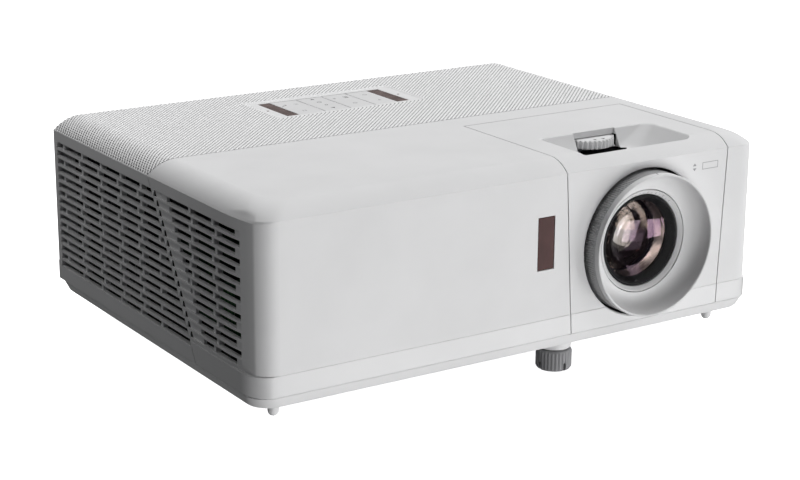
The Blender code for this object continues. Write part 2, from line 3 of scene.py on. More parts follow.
import bmesh
import bpy
from mathutils import Matrix, Vector


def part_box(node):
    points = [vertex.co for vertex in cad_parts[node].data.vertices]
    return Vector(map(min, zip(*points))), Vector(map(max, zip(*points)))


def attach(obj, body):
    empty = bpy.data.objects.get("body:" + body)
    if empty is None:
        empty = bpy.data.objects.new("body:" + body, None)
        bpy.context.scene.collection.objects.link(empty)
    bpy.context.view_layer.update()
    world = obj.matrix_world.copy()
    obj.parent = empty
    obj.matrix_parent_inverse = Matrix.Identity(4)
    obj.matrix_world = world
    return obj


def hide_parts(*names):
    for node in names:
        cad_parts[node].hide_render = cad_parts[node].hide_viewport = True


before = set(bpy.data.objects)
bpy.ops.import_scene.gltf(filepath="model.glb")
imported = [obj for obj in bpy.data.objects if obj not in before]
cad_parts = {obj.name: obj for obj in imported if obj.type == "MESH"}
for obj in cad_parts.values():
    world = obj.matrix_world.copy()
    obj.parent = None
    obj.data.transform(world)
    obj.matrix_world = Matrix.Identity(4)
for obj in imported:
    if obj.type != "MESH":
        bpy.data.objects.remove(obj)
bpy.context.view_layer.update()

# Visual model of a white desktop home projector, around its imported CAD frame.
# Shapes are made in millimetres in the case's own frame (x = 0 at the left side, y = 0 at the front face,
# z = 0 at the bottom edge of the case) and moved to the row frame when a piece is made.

MM = 0.001

# Driving dimensions, mm
WIDTH = 374.0
DEPTH = 274.9
HEIGHT = 118.6
TRAY_TOP = 7.45
COVER_BOTTOM = 7.8
BAND_TOP = 20.8
BAND_STEP = 0.3
SIDE_EDGE_Z = 110.2
SIDE_ARC_R = 28.0
FRONT_EDGE_Z = 111.4
FRONT_ARC_R = 31.4
TOP_INSET = 20.0
TOP_FLAT = WIDTH / 2 - TOP_INSET
CORNER = 16.0
SIDE_WALL = 2.9
TOP_WALL = 2.5
SEAM_LOW = (73.6, 7.5)
SEAM_HIGH = (133.4, 110.6)
SEAM_GAP = 0.62
LENS_COVER_BACK = 112.2
ROW_PITCH = 5.45
ROW_TOP = 103.3
ROW_OPEN = 4.0
BAR = 2.6
LENS = (279.2, 58.9)
DIAL = (281.7, 65.0)
DIAL_R = 17.6
POCKET_FLOOR = 106.1
KEYS_X = (135.0, 231.6)
KEYS_Y = (199.0, 240.4)
KEY_EDGES = (144.2, 164.8, 184.8, 204.4, 222.5)
FRONT_FOOT = (227.0, 22.5)
BACK_FEET_X = {"left": 46.0, "right": 328.0}
BACK_FEET_Y = 250.0
TEXTURE_STEP = 0.81
PIT_DEPTH = 0.6
BORDER_SHADE = 0.13

corner_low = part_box("front_cover")[0]
case_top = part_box("lens_cover")[1].z
ORIGIN = Vector((corner_low.x, corner_low.y, case_top - HEIGHT * MM))
TO_FRAME = Matrix.Translation(ORIGIN) @ Matrix.Scale(MM, 4)
scene = bpy.context.scene


# Camera

camera_data = bpy.data.cameras.new("camera")
camera_data.lens = 87.4
camera_data.sensor_width = 36.0
camera_data.clip_start = 0.05
camera = bpy.data.objects.new("camera", camera_data)
right = Vector((0.84019, -0.54226, 0.00575))
up = Vector((0.14904, 0.24110, 0.95899))
forward = Vector((0.52141, 0.80487, -0.28339))
turned = Matrix((right, up, -forward)).transposed().to_4x4()
camera.matrix_world = Matrix.Translation((-0.67435, -1.0317, 0.4269)) @ turned
scene.collection.objects.link(camera)
scene.camera = camera


# Meshes

BOX_FACES = ((0, 1, 3, 2), (4, 6, 7, 5), (0, 4, 5, 1), (2, 3, 7, 6), (0, 2, 6, 4), (1, 5, 7, 3))


def hexahedron_into(bm, corners):
    """Eight corners in the order of `box_into`, joined by six faces."""
    made = [bm.verts.new(corner) for corner in corners]
    for face in BOX_FACES:
        bm.faces.new([made[i] for i in face])


def box_into(bm, low, high):
    corners = [(x, y, z) for x in (low[0], high[0]) for y in (low[1], high[1]) for z in (low[2], high[2])]
    hexahedron_into(bm, corners)


def boxes(*pairs):
    bm = bmesh.new()
    for low, high in pairs:
        box_into(bm, low, high)
    return bm


def loft_into(bm, rings):
    """Closed rings of points joined in order, with both ends capped."""
    rings = [[bm.verts.new(point) for point in ring] for ring in rings]
    bm.faces.new(rings[0])
    bm.faces.new(list(reversed(rings[-1])))
    count = len(rings[0])
    for low, high in zip(rings, rings[1:]):
        for i in range(count):
            j = (i + 1) % count
            bm.faces.new([low[i], low[j], high[j], high[i]])


def loft(rings, weld=1e-4):
    bm = bmesh.new()
    loft_into(bm, rings)
    bmesh.ops.remove_doubles(bm, verts=bm.verts, dist=weld)
    return bm


def prism(outline, axis, low, high):
    """An outline extruded along an axis, given as (y, z) for x, (x, z) for y and (x, y) for z."""
    def place(a, b, level):
        return {"x": (level, a, b), "y": (a, level, b), "z": (a, b, level)}[axis]
    return loft([[place(a, b, level) for a, b in outline] for level in (low, high)])


def on_axis(axis, centre, radius, along, angle):
    across = radius * math.cos(angle)
    rise = radius * math.sin(angle)
    if axis == "y":
        return (centre[0] + across, along, centre[1] + rise)
    if axis == "z":
        return (centre[0] + across, centre[1] + rise, along)
    return (along, centre[0] + across, centre[1] + rise)


def lathe_into(bm, profile, axis, centre, steps, ripple=None, phase=0.0):
    """A closed (radius, along) profile turned about an axis.

    `ripple` changes a radius with the angle, and `phase` shifts the steps by a part of one.
    """
    rings = []
    for index, (radius, along) in enumerate(profile):
        if radius < 1e-6:
            rings.append([bm.verts.new(on_axis(axis, centre, 0.0, along, 0.0))])
            continue
        ring = []
        for k in range(steps):
            angle = 2 * math.pi * (k + phase) / steps
            reach = radius + (ripple(index, k) if ripple else 0.0)
            ring.append(bm.verts.new(on_axis(axis, centre, reach, along, angle)))
        rings.append(ring)
    for i, ring in enumerate(rings):
        after = rings[(i + 1) % len(rings)]
        if len(ring) == 1 and len(after) == 1:
            continue
        for k in range(steps):
            n = (k + 1) % steps
            if len(ring) == 1:
                bm.faces.new([ring[0], after[k], after[n]])
            elif len(after) == 1:
                bm.faces.new([ring[k], ring[n], after[0]])
            else:
                bm.faces.new([ring[k], ring[n], after[n], after[k]])


def lathe(profile, axis, centre, steps, ripple=None):
    bm = bmesh.new()
    lathe_into(bm, profile, axis, centre, steps, ripple)
    return bm


def rounded(low, high, radius, steps=6, radii=None):
    """A rectangle in plan with round corners. `radii` lists them anticlockwise from the low one."""
    radii = radii or (radius,) * 4
    centres = (
        (low[0] + radii[0], low[1] + radii[0], math.pi, radii[0]),
        (high[0] - radii[1], low[1] + radii[1], 1.5 * math.pi, radii[1]),
        (high[0] - radii[2], high[1] - radii[2], 0.0, radii[2]),
        (low[0] + radii[3], high[1] - radii[3], 0.5 * math.pi, radii[3]),
    )
    points = []
    for x, y, start, reach in centres:
        for k in range(steps + 1):
            angle = start + 0.5 * math.pi * k / steps
            points.append((x + reach * math.cos(angle), y + reach * math.sin(angle)))
    return points


def soft_block(low, high, radius, edge=0.3, facing="z"):
    """A block with rounded corners in plan and a rounded rim round its face."""
    axis = "xyz".index(facing)
    plan = [i for i in range(3) if i != axis]
    sign = 1 if high[axis] > low[axis] else -1
    rings = []
    for k in range(-1, 4):
        turn = 0.5 * math.pi * max(k, 0) / 3
        inset = edge * (1 - math.cos(turn))
        level = low[axis] if k < 0 else high[axis] - sign * edge * (1 - math.sin(turn))
        outline = rounded((low[plan[0]] + inset, low[plan[1]] + inset),
                          (high[plan[0]] - inset, high[plan[1]] - inset), max(radius - inset, 0.05))
        ring = []
        for a, b in outline:
            point = [0.0, 0.0, 0.0]
            point[plan[0]], point[plan[1]], point[axis] = a, b, level
            ring.append(tuple(point))
        rings.append(ring)
    return loft(rings)


def solid(name, bm, *materials):
    bmesh.ops.recalc_face_normals(bm, faces=bm.faces)
    mesh = bpy.data.meshes.new(name)
    bm.to_mesh(mesh)
    bm.free()
    for material in materials:
        mesh.materials.append(material)
    obj = bpy.data.objects.new(name, mesh)
    scene.collection.objects.link(obj)
    return obj


def boolean(obj, bm, operation="DIFFERENCE", material=None):
    """Applies one exact Boolean. Faces cut by the tool take `material` where it is given."""
    tool = solid("tool", bm, material or obj.data.materials[0])
    modifier = obj.modifiers.new("boolean", "BOOLEAN")
    modifier.operation = operation
    modifier.solver = "EXACT"
    modifier.material_mode = "TRANSFER"
    modifier.object = tool
    bpy.context.view_layer.update()
    graph = bpy.context.evaluated_depsgraph_get()
    mesh = bpy.data.meshes.new_from_object(obj.evaluated_get(graph), depsgraph=graph)
    obj.modifiers.clear()
    old = obj.data
    obj.data = mesh
    bpy.data.meshes.remove(old)
    bpy.data.objects.remove(tool)
    return obj


def taken(obj):
    """The mesh of an object that is no longer needed."""
    bm = bmesh.new()
    bm.from_mesh(obj.data)
    bpy.data.objects.remove(obj)
    return bm


def common(first, second):
    """The overlap of two meshes, as a mesh."""
    return taken(boolean(solid("common", first, WHITE), second, "INTERSECT"))


def finish_piece(obj, body, slot, *nodes, angle=30.0, weighted=True):
    """Moves a finished mesh to the row frame, attaches it to its body and hides the CAD nodes that it
    replaces. `slot` is not used.
    """
    obj.data.transform(TO_FRAME)
    obj.data.shade_smooth()
    obj.data.set_sharp_from_angle(angle=math.radians(angle))
    if weighted:
        modifier = obj.modifiers.new("normals", "WEIGHTED_NORMAL")
        modifier.mode = "FACE_AREA"
        modifier.keep_sharp = True
    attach(obj, body)
    if nodes:
        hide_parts(*nodes)
    return obj


def piece(name, bm, body, slot, material, *nodes, angle=30.0, weighted=True):
    return finish_piece(solid(name, bm, material), body, slot, *nodes, angle=angle, weighted=weighted)


# Materials

class Finish:
    """A Principled material with helpers for procedural detail, in millimetres of the object's own space."""

    def __init__(self, name, colour, rough, metal=0.0, **sockets):
        self.material = bpy.data.materials.new(name)
        self.material.use_nodes = True
        self.tree = self.material.node_tree
        self.shader = self.tree.nodes["Principled BSDF"]
        self.set("Base Color", colour if len(colour) == 4 else (*colour, 1.0))
        self.set("Roughness", rough)
        self.set("Metallic", metal)
        for socket, value in sockets.items():
            self.set(socket.replace("_", " "), value)
        self.place = None

    def set(self, socket, value):
        self.shader.inputs[socket].default_value = value

    def node(self, kind, **values):
        made = self.tree.nodes.new(kind)
        for key, value in values.items():
            if hasattr(made, key):
                setattr(made, key, value)
            else:
                made.inputs[key.replace("_", " ")].default_value = value
        return made

    def link(self, output, target):
        self.tree.links.new(output, target)

    def coordinates(self, stretch=(1.0, 1.0, 1.0)):
        if self.place is None:
            self.place = self.node("ShaderNodeTexCoord").outputs["Object"]
        if stretch == (1.0, 1.0, 1.0):
            return self.place
        mapping = self.node("ShaderNodeMapping")
        mapping.inputs["Scale"].default_value = stretch
        self.link(self.place, mapping.inputs["Vector"])
        return mapping.outputs["Vector"]

    def noise(self, size, detail=2.0, stretch=(1.0, 1.0, 1.0), rough=0.5):
        made = self.node("ShaderNodeTexNoise", Scale=1 / (size * MM), Detail=detail, Roughness=rough)
        self.link(self.coordinates(stretch), made.inputs["Vector"])
        return made.outputs["Fac"]

    def ranged(self, value, low, high, start=0.3, end=0.7):
        made = self.node("ShaderNodeMapRange")
        made.inputs["From Min"].default_value = start
        made.inputs["From Max"].default_value = end
        made.inputs["To Min"].default_value = low
        made.inputs["To Max"].default_value = high
        self.link(value, made.inputs["Value"])
        return made.outputs["Result"]

    def roughness(self, value, low, high, start=0.3, end=0.7):
        self.link(self.ranged(value, low, high, start, end), self.shader.inputs["Roughness"])

    def colours(self, value, first, second, start=0.3, end=0.7):
        mix = self.node("ShaderNodeMixRGB", Color1=(*first, 1.0), Color2=(*second, 1.0))
        self.link(self.ranged(value, 0.0, 1.0, start, end), mix.inputs["Fac"])
        self.link(mix.outputs["Color"], self.shader.inputs["Base Color"])

    def bump(self, value, depth, normal=None, strength=1.0):
        made = self.node("ShaderNodeBump", Strength=strength, Distance=depth * MM)
        self.link(value, made.inputs["Height"])
        if normal is not None:
            self.link(normal, made.inputs["Normal"])
        self.link(made.outputs["Normal"], self.shader.inputs["Normal"])
        return made.outputs["Normal"]

    def soft_edges(self, radius):
        made = self.node("ShaderNodeBevel", samples=4, Radius=radius * MM)
        return made.outputs["Normal"]


def tinted(colour, factor):
    return tuple(min(1.0, channel * factor) for channel in colour)


def moulded(name, colour, rough, grain=0.35, depth=0.004, spread=0.06, edge=0.3, **sockets):
    """Moulded plastic with a fine spark-eroded texture, slight unevenness and softened edges."""
    made = Finish(name, colour, rough, **sockets)
    fine = made.noise(grain, detail=3.0)
    wide = made.noise(38.0, detail=2.0)
    made.colours(wide, tinted(colour, 0.975), tinted(colour, 1.015))
    made.roughness(fine, rough - spread, rough + spread)
    made.bump(fine, depth, made.soft_edges(edge) if edge else None)
    return made.material


def dimpled(name, ridge, pit, rough):
    """White plastic with painted shade in its pits: the mesh says how deep each point lies in a pit, and the
    colour darkens from the ridge white towards the pit colour with that depth.
    """
    made = Finish(name, ridge, rough)
    depth = made.node("ShaderNodeAttribute")
    depth.attribute_name = "cavity"
    made.colours(depth.outputs["Fac"], ridge, pit, 0.10, 0.35)
    fine = made.noise(0.35, detail=3.0)
    made.roughness(fine, rough - 0.06, rough + 0.06)
    made.bump(fine, 0.004)
    return made.material


WHITE_TONE = (0.80, 0.80, 0.805)
WHITE = moulded("white_textured", WHITE_TONE, 0.48)
# The band's glossier finish is real; its white, lighter than the covers', is painted light.
WHITE_GLOSS_PAINTED_LIGHT = moulded("white_band_gloss_painted_light", (0.85, 0.85, 0.855), 0.2, grain=3.0, depth=0.002, spread=0.03,
                      Coat_Weight=0.8, Coat_Roughness=0.06)
# The near-black pit colour is painted shade for the pits of the dimpled skin.
WHITE_SKIN_PAINTED_SHADE = dimpled("white_dimpled_painted_shade", (0.95, 0.95, 0.955), (0.06, 0.06, 0.062), 0.45)
# The tray's white is a little lighter than the covers': painted light for the light its front gets from
# below.
WHITE_TRAY_PAINTED_LIGHT = moulded("white_tray_painted_light", (0.82, 0.82, 0.825), 0.5)
WHITE_KEY = moulded("white_keys", (0.79, 0.79, 0.795), 0.42, grain=0.25, depth=0.003, edge=0.2)
DIAL_WHITE = moulded("dial_satin", (0.76, 0.76, 0.765), 0.42, grain=0.3, edge=0.15)
RING_GREY = moulded("ring_satin", (0.72, 0.72, 0.725), 0.36, grain=0.3, edge=0.2)
# The knurled band's darker grey is painted shade over the ring's own grey.
RING_KNURL_PAINTED_SHADE = moulded("ring_knurled", (0.58, 0.58, 0.585), 0.45, grain=0.3, edge=0.0)
RING_CONE = moulded("ring_cone", (0.76, 0.76, 0.765), 0.4, grain=0.5, depth=0.003, edge=0.2)
# Near-black painted shade, put on the inner faces of the case and in its gaps, slots, bores and recesses
# where shade falls.
INSIDE_PAINTED_SHADE = moulded("inside_painted_shade", (0.012, 0.012, 0.013), 0.7, grain=0.8, depth=0.01, edge=0.0)
BLACK = moulded("black_satin", (0.018, 0.018, 0.019), 0.45, grain=0.3)
BLACK_GLOSS = moulded("black_anodised", (0.010, 0.010, 0.011), 0.3, grain=0.5, depth=0.002)
RUBBER = moulded("grey_rubber", (0.12, 0.12, 0.125), 0.75, grain=0.4, depth=0.01, edge=0.3)
FOOT_GREY = moulded("foot_grey", (0.30, 0.30, 0.31), 0.55, grain=0.4, depth=0.006, edge=0.3)
PRINT = moulded("print_grey", (0.12, 0.12, 0.125), 0.5, grain=0.2, depth=0.002, edge=0.0)
PRINT_FAINT = moulded("print_light", (0.36, 0.36, 0.37), 0.5, grain=0.2, depth=0.002, edge=0.0)


def smoked(name, colour, rough):
    """Dark infrared-passing plastic: glossy, with a faint swirl from moulding."""
    made = Finish(name, colour, rough, Coat_Weight=0.3, Coat_Roughness=0.05, Specular_IOR_Level=0.4)
    swirl = made.noise(9.0, detail=3.0, stretch=(1.0, 1.0, 0.4))
    made.colours(swirl, tinted(colour, 0.8), tinted(colour, 1.25))
    made.roughness(swirl, rough, rough + 0.06)
    made.bump(made.noise(14.0), 0.01, made.soft_edges(0.25))
    return made.material


SMOKED = smoked("smoked_window", (0.07, 0.028, 0.026), 0.1)
SMOKED_KEYS = smoked("smoked_key_window", (0.20, 0.155, 0.148), 0.16)


def metal(name, colour, rough, stretch, size=0.5, depth=0.004, spread=0.1):
    """Bare metal with a brushed or cast grain."""
    made = Finish(name, colour, rough, 1.0)
    grain = made.noise(size, detail=4.0, stretch=stretch)
    made.colours(grain, tinted(colour, 0.86), tinted(colour, 1.06))
    made.roughness(grain, rough - spread, rough + spread)
    made.bump(grain, depth, made.soft_edges(0.15))
    return made.material


STEEL = metal("steel_brushed", (0.58, 0.58, 0.60), 0.3, (0.05, 1.0, 1.0))
NICKEL = metal("socket_nickel", (0.66, 0.65, 0.62), 0.26, (1.0, 0.08, 1.0), size=0.3)
ALLOY = metal("alloy_cast", (0.62, 0.63, 0.65), 0.5, (1.0, 1.0, 1.0), size=0.9, depth=0.02)
GOLD = metal("contact_gold", (0.83, 0.62, 0.25), 0.25, (1.0, 0.1, 1.0), size=0.2, depth=0.002)
BRONZE = metal("bronze_satin", (0.72, 0.63, 0.60), 0.24, (1.0, 0.06, 1.0), size=0.4, spread=0.06)


def circuit_board():
    made = Finish("circuit_board", (0.03, 0.16, 0.07), 0.4, Coat_Weight=0.5, Coat_Roughness=0.2)
    tracks = made.node("ShaderNodeTexBrick", Scale=1 / (9 * MM))
    tracks.inputs["Mortar Size"].default_value = 0.03
    tracks.inputs["Color1"].default_value = (0.02, 0.12, 0.05, 1)
    tracks.inputs["Color2"].default_value = (0.03, 0.15, 0.06, 1)
    tracks.inputs["Mortar"].default_value = (0.10, 0.26, 0.10, 1)
    made.link(made.coordinates(), tracks.inputs["Vector"])
    made.link(tracks.outputs["Color"], made.shader.inputs["Base Color"])
    made.roughness(made.noise(2.0), 0.3, 0.5)
    made.bump(tracks.outputs["Fac"], 0.03)
    return made.material


def phosphor():
    made = Finish("phosphor_coating", (0.8, 0.72, 0.18), 0.6)
    grain = made.noise(0.4, detail=3.0)
    made.colours(grain, (0.72, 0.64, 0.14), (0.86, 0.78, 0.24))
    made.roughness(grain, 0.5, 0.7)
    made.bump(grain, 0.01)
    return made.material


def glass(name, tint, strength, coat):
    """Coated optical glass: clear, with weak tinted reflections. Light passes it without a shadow."""
    made = Finish(name, tint, 0.0, Transmission_Weight=1.0, IOR=1.5)
    made.set("Specular IOR Level", strength)
    made.set("Specular Tint", (*coat, 1.0))
    dust = made.noise(1.6, detail=4.0)
    made.roughness(dust, 0.0, 0.012, 0.55, 0.8)
    clear = made.node("ShaderNodeBsdfTransparent", Color=(*tinted(tint, 0.96), 1.0))
    path = made.node("ShaderNodeLightPath")
    pick = made.node("ShaderNodeMixShader")
    either = made.node("ShaderNodeMath", operation="MAXIMUM")
    made.link(path.outputs["Is Shadow Ray"], either.inputs[0])
    made.link(path.outputs["Is Diffuse Ray"], either.inputs[1])
    made.link(either.outputs["Value"], pick.inputs["Fac"])
    made.link(made.shader.outputs["BSDF"], pick.inputs[1])
    made.link(clear.outputs["BSDF"], pick.inputs[2])
    made.link(pick.outputs["Shader"], made.tree.nodes["Material Output"].inputs["Surface"])
    return made.material


BOARD = circuit_board()
PHOSPHOR = phosphor()
GLASS_FRONT = glass("glass_front", (0.99, 0.97, 0.99), 0.25, (0.95, 0.6, 0.85))
GLASS_SECOND = glass("glass_second", (1.0, 0.95, 0.92), 0.4, (1.0, 0.75, 0.6))
GLASS_ZOOM = glass("glass_zoom", (0.98, 0.93, 0.97), 0.4, (0.85, 0.7, 1.0))
GLASS_REAR = glass("glass_rear", (0.97, 0.98, 1.0), 0.4, (0.9, 0.9, 1.0))


# Case outline

def smooth(value):
    value = min(1.0, max(0.0, value))
    return value * value * (3 - 2 * value)


def inset_on_arc(z, radius):
    rise = z - (HEIGHT - radius)
    return max(0.0, TOP_INSET - math.sqrt(max(0.0, radius * radius - rise * rise)))


def creased_corner():
    """From the side to the front: a flat arc, an upright crease, and a rounder arc into the front."""
    flat_r, flat_start, flat_turn = 138.7, 36.4, math.radians(12.0)
    round_r, round_start, lean = 14.25, 15.63, math.radians(28.0)
    points = []
    for k in range(6):
        angle = flat_turn * k / 5
        points.append((flat_r - flat_r * math.cos(angle), flat_start - flat_r * math.sin(angle)))
    for k in range(1, 10):
        angle = lean + (0.5 * math.pi - lean) * k / 9
        points.append((round_start - round_r * math.cos(angle), round_r - round_r * math.sin(angle)))
    return points + [(CORNER, 0.0)]


def round_corner(across, along=None, count=16):
    """A quarter ellipse from the side to the front, with its reach along each."""
    along = along or across
    points = [(0.0, max(CORNER, along))]
    for k in range(count - 2):
        angle = 0.5 * math.pi * k / (count - 3)
        points.append((across - across * math.cos(angle), along - along * math.sin(angle)))
    return points + [(CORNER, 0.0)]


def plan(corner, side, front, back, z):
    left = [(side + u, front + v, z) for u, v in corner]
    right_side = [(WIDTH - side - u, front + v, z) for u, v in reversed(corner)]
    return [(side, back, z)] + left + right_side + [(WIDTH - side, back, z)]


def upper_levels():
    """Heights on the arcs of the top edges, even in angle on the side arc."""
    middle = HEIGHT - SIDE_ARC_R
    start = math.asin((SIDE_EDGE_Z - middle) / SIDE_ARC_R)
    levels = [middle + SIDE_ARC_R * math.sin(start + (0.5 * math.pi - start) * k / 14) for k in range(15)]
    return sorted(levels + [FRONT_EDGE_Z])


def outer_case(back=DEPTH, drop=0.0):
    """The outside of the upper case. `drop` sinks all that is above the side edges."""
    band, creased = round_corner(14.0, 18.0), creased_corner()
    rings = [
        plan(band, 0.25, 0.25, back, COVER_BOTTOM),
        plan(band, 0.0, 0.0, back, COVER_BOTTOM + 0.25),
        plan(band, 0.0, 0.0, back, BAND_TOP - 0.3),
        plan(band, BAND_STEP, BAND_STEP, back, BAND_TOP),
        plan(creased, BAND_STEP, BAND_STEP, back, BAND_TOP + 0.12),
    ]
    if drop:
        rings.append(plan(creased, BAND_STEP, BAND_STEP, back, SIDE_EDGE_Z))
        rings += lowered_levels(back, SIDE_ARC_R - drop)
        return loft(rings)
    share = 1 - BAND_STEP / TOP_INSET
    for z in upper_levels():
        side = BAND_STEP + share * inset_on_arc(z, SIDE_ARC_R)
        front = BAND_STEP + (share * inset_on_arc(z, FRONT_ARC_R) if z > FRONT_EDGE_Z else 0.0)
        blend = smooth((z - FRONT_EDGE_Z) / 4.0)
        corner = [(a[0] + (b[0] - a[0]) * blend, a[1] + (b[1] - a[1]) * blend)
                  for a, b in zip(creased, round_corner(15.5))]
        rings.append(plan(corner, side, front, back, z))
    return loft(rings)


def lowered_levels(back, reach):
    """The top edges again on a smaller radius, to lie under a separate skin."""
    middle = HEIGHT - SIDE_ARC_R
    start = math.asin((SIDE_EDGE_Z + 0.05 - middle) / reach)
    rings = []
    for k in range(13):
        turn = start + (0.5 * math.pi - start) * k / 12
        side = TOP_INSET - reach * math.cos(turn)
        rings.append(plan(round_corner(15.5), side, side, back, middle + reach * math.sin(turn)))
    return rings


def inner_case(side_wall, top_wall, bottom=2.0):
    """The space inside the case's walls, open beyond the back."""
    corner = round_corner(CORNER - 0.5 - side_wall)
    rings = [plan(corner, side_wall, side_wall, DEPTH + 6.0, bottom)]
    for z in upper_levels():
        side = inset_on_arc(z, SIDE_ARC_R) + side_wall
        front = (inset_on_arc(z, FRONT_ARC_R) if z > FRONT_EDGE_Z else 0.0) + side_wall
        rings.append(plan(corner, side, front, DEPTH + 6.0, z - top_wall))
    return loft(rings)


def seam_y(z):
    slope = (SEAM_HIGH[0] - SEAM_LOW[0]) / (SEAM_HIGH[1] - SEAM_LOW[1])
    return SEAM_LOW[0] + slope * (min(z, SEAM_HIGH[1]) - SEAM_LOW[1])


def seam_strip(near, far):
    """Side view of a strip along the seam between two distances from it, as a prism through the case."""
    heights = (-4.0, SEAM_HIGH[1], 140.0)
    low = [(seam_y(z) + near, z) for z in heights]
    high = [(seam_y(z) + far, z) for z in reversed(heights)]
    return prism(low + high, "x", -20.0, WIDTH + 20.0)


def lens_outline(inset):
    """The lens cover seen from in front."""
    left = [(222.9, 7.0), (216.4, 111.4), (217.4, 118.6), (217.4, 130.0)]
    right_side = [(341.2, 7.0), (345.3, 111.4), (347.0, 118.6), (347.0, 130.0)]
    return [(x + inset, z) for x, z in left] + [(x - inset, z) for x, z in reversed(right_side)]


def shell(name, drop=0.0):
    obj = solid(name, outer_case(drop=drop), WHITE)
    # The inner faces of the shell take the near-black painted shade.
    return boolean(obj, inner_case(SIDE_WALL, TOP_WALL + 0.6 * drop), material=INSIDE_PAINTED_SHADE)


def skirt(first, second=None):
    """A layer under the outer surface, from 1.4 mm to 3.1 mm deep, inside `first` and outside `second`."""
    layer = solid("layer", inner_case(1.4, 1.4, bottom=8.4), WHITE)
    boolean(layer, inner_case(3.1, 3.1, bottom=-10.0))
    boolean(layer, first, "INTERSECT")
    if second is not None:
        boolean(layer, second)
    return taken(layer)


def paint_band(obj):
    """Gives the outer faces below the band's top edge the glossier finish, whose white, lighter than the
    covers', is painted light.
    """
    obj.data.materials.append(WHITE_GLOSS_PAINTED_LIGHT)
    gloss = len(obj.data.materials) - 1
    for face in obj.data.polygons:
        centre = face.center
        outside = min(centre.x, WIDTH - centre.x, centre.y) < 1.0 or (
            centre.y < 15.0 and min(centre.x, WIDTH - centre.x) < 15.0 and face.normal.z < 0.5)
        inward = Vector((centre.x - WIDTH / 2, centre.y - 60.0, 0.0)).dot(face.normal) < 0
        if centre.z < BAND_TOP - 0.1 and centre.y < seam_y(centre.z) and outside and not inward:
            face.material_index = gloss


# Covers

def row_span(index):
    top = ROW_TOP - ROW_PITCH * index
    return top - ROW_OPEN, top


def slot_row(start, end, low, high):
    """One row of the grille cut right through both side walls, from `start` forward to `end`."""
    return ((-5.0, end, low), (WIDTH + 5.0, start, high))


def shallow_row(start, end, low, high, depth):
    """One row sunk a little into both side walls, but not cut through."""
    return [((-5.0, end, low), (depth, start, high)), ((WIDTH - depth, end, low), (WIDTH + 5.0, start, high))]


def bar_pair(y, low, high):
    """An upright bar behind the fins of one row, on both sides."""
    near, far = BAND_STEP + 1.2, 5.0
    return [((near, y - BAR / 2, low - 0.5), (far, y + BAR / 2, high + 0.5)),
            ((WIDTH - far, y - BAR / 2, low - 0.5), (WIDTH - near, y + BAR / 2, high + 0.5))]


def back_grille():
    slots, bars = [], []
    for index in range(16):
        low, high = row_span(index)
        end = seam_y(high) - 3.0
        slots.append(slot_row(270.5, end, low, high))
        first = 261.5 if index % 2 == 0 else 237.0
        for k in range(5):
            y = first - 29.0 * k
            if y > seam_y(high) + 7.0:
                bars += bar_pair(y, low, high)
    return slots, bars


def front_grille():
    slots, recesses, bars = [], [], []
    for index in range(15):
        low, high = row_span(index)
        odd = index % 2 == 0
        start = seam_y(low) - 17.0
        slots.append(slot_row(start, 24.5 if odd else 19.0, low, high))
        recesses += shallow_row(seam_y(low) - 1.0, 19.0, low, high, BAND_STEP + 1.2)
        for y in ((80.5, 51.5) if odd else (77.5, 47.5)):
            if y < start - 3.0:
                bars += bar_pair(y, low, high)
    return slots, recesses, bars


def grille_pads(front):
    """Thicker wall behind a grille, so that its fins are deeper."""
    near, far = SIDE_WALL - 0.4, 3.6
    low_y, high_y = (16.5, 128.0) if front else (60.0, 264.0)
    return boxes(((near, low_y, 17.0), (far, high_y, 105.2)),
                 ((WIDTH - far, low_y, 17.0), (WIDTH - near, high_y, 105.2)))


def build_front_cover():
    obj = shell("front_cover_shell")
    boolean(obj, grille_pads(True), "UNION")
    boolean(obj, seam_strip(-200.0, -SEAM_GAP / 2), "INTERSECT")
    boolean(obj, common(inner_case(1.15, 1.15), seam_strip(-3.4, 1.0)))
    boolean(obj, prism(lens_outline(-SEAM_GAP / 2), "y", -20.0, LENS_COVER_BACK + SEAM_GAP / 2))
    flange = skirt(prism(lens_outline(-1.5), "y", -20.0, LENS_COVER_BACK + 1.5),
                   prism(lens_outline(2.4), "y", -20.0, LENS_COVER_BACK - 2.4))
    # The flange behind the lens cover's seam is painted in shade.
    boolean(obj, flange, "UNION", INSIDE_PAINTED_SHADE)
    boolean(obj, boxes(((195.3, -5.0, 52.8), (208.1, 6.0, 86.6))))
    slots, recesses, bars = front_grille()
    boolean(obj, boxes(*slots))
    boolean(obj, boxes(*recesses))
    boolean(obj, boxes(*bars), "UNION")
    paint_band(obj)
    finish_piece(obj, "case", "white_plastic", "front_cover")


def scoop():
    """The finger recess in front of the dial: steep behind, sloping on the right, round between."""
    rings = []
    depth = 119.6 - POCKET_FLOOR
    fillet = 2.2
    for step in range(6):
        turn = 0.5 * math.pi * step / 5
        rings.append((POCKET_FLOOR + fillet * (1 - math.cos(turn)), -fillet * (1 - math.sin(turn))))
    rings += [(POCKET_FLOOR + depth * k / 6, 0.0) for k in range(2, 5)]
    lip = 0.7
    for step in range(6):
        turn = 0.5 * math.pi * step / 5
        rings.append((HEIGHT - lip * (1 - math.sin(turn)), lip * (1 - math.cos(turn))))
    rings.append((HEIGHT + 1.0, lip))
    made = []
    for z, grow in rings:
        share = (z - POCKET_FLOOR) / depth
        low = (239.6 - 1.8 * share - grow, 12.2 - 0.4 * share - grow)
        high = (306.9 + 21.5 * share + grow, 51.4 + 7.1 * share + grow)
        valley = 13.0 - 7.0 * share
        radii = (2.2, 5.0 + 1.5 * share, valley, 2.2)
        made.append([(x, y, z) for x, y in rounded(low, high, 1.0, steps=8, radii=radii)])
    return loft(made)


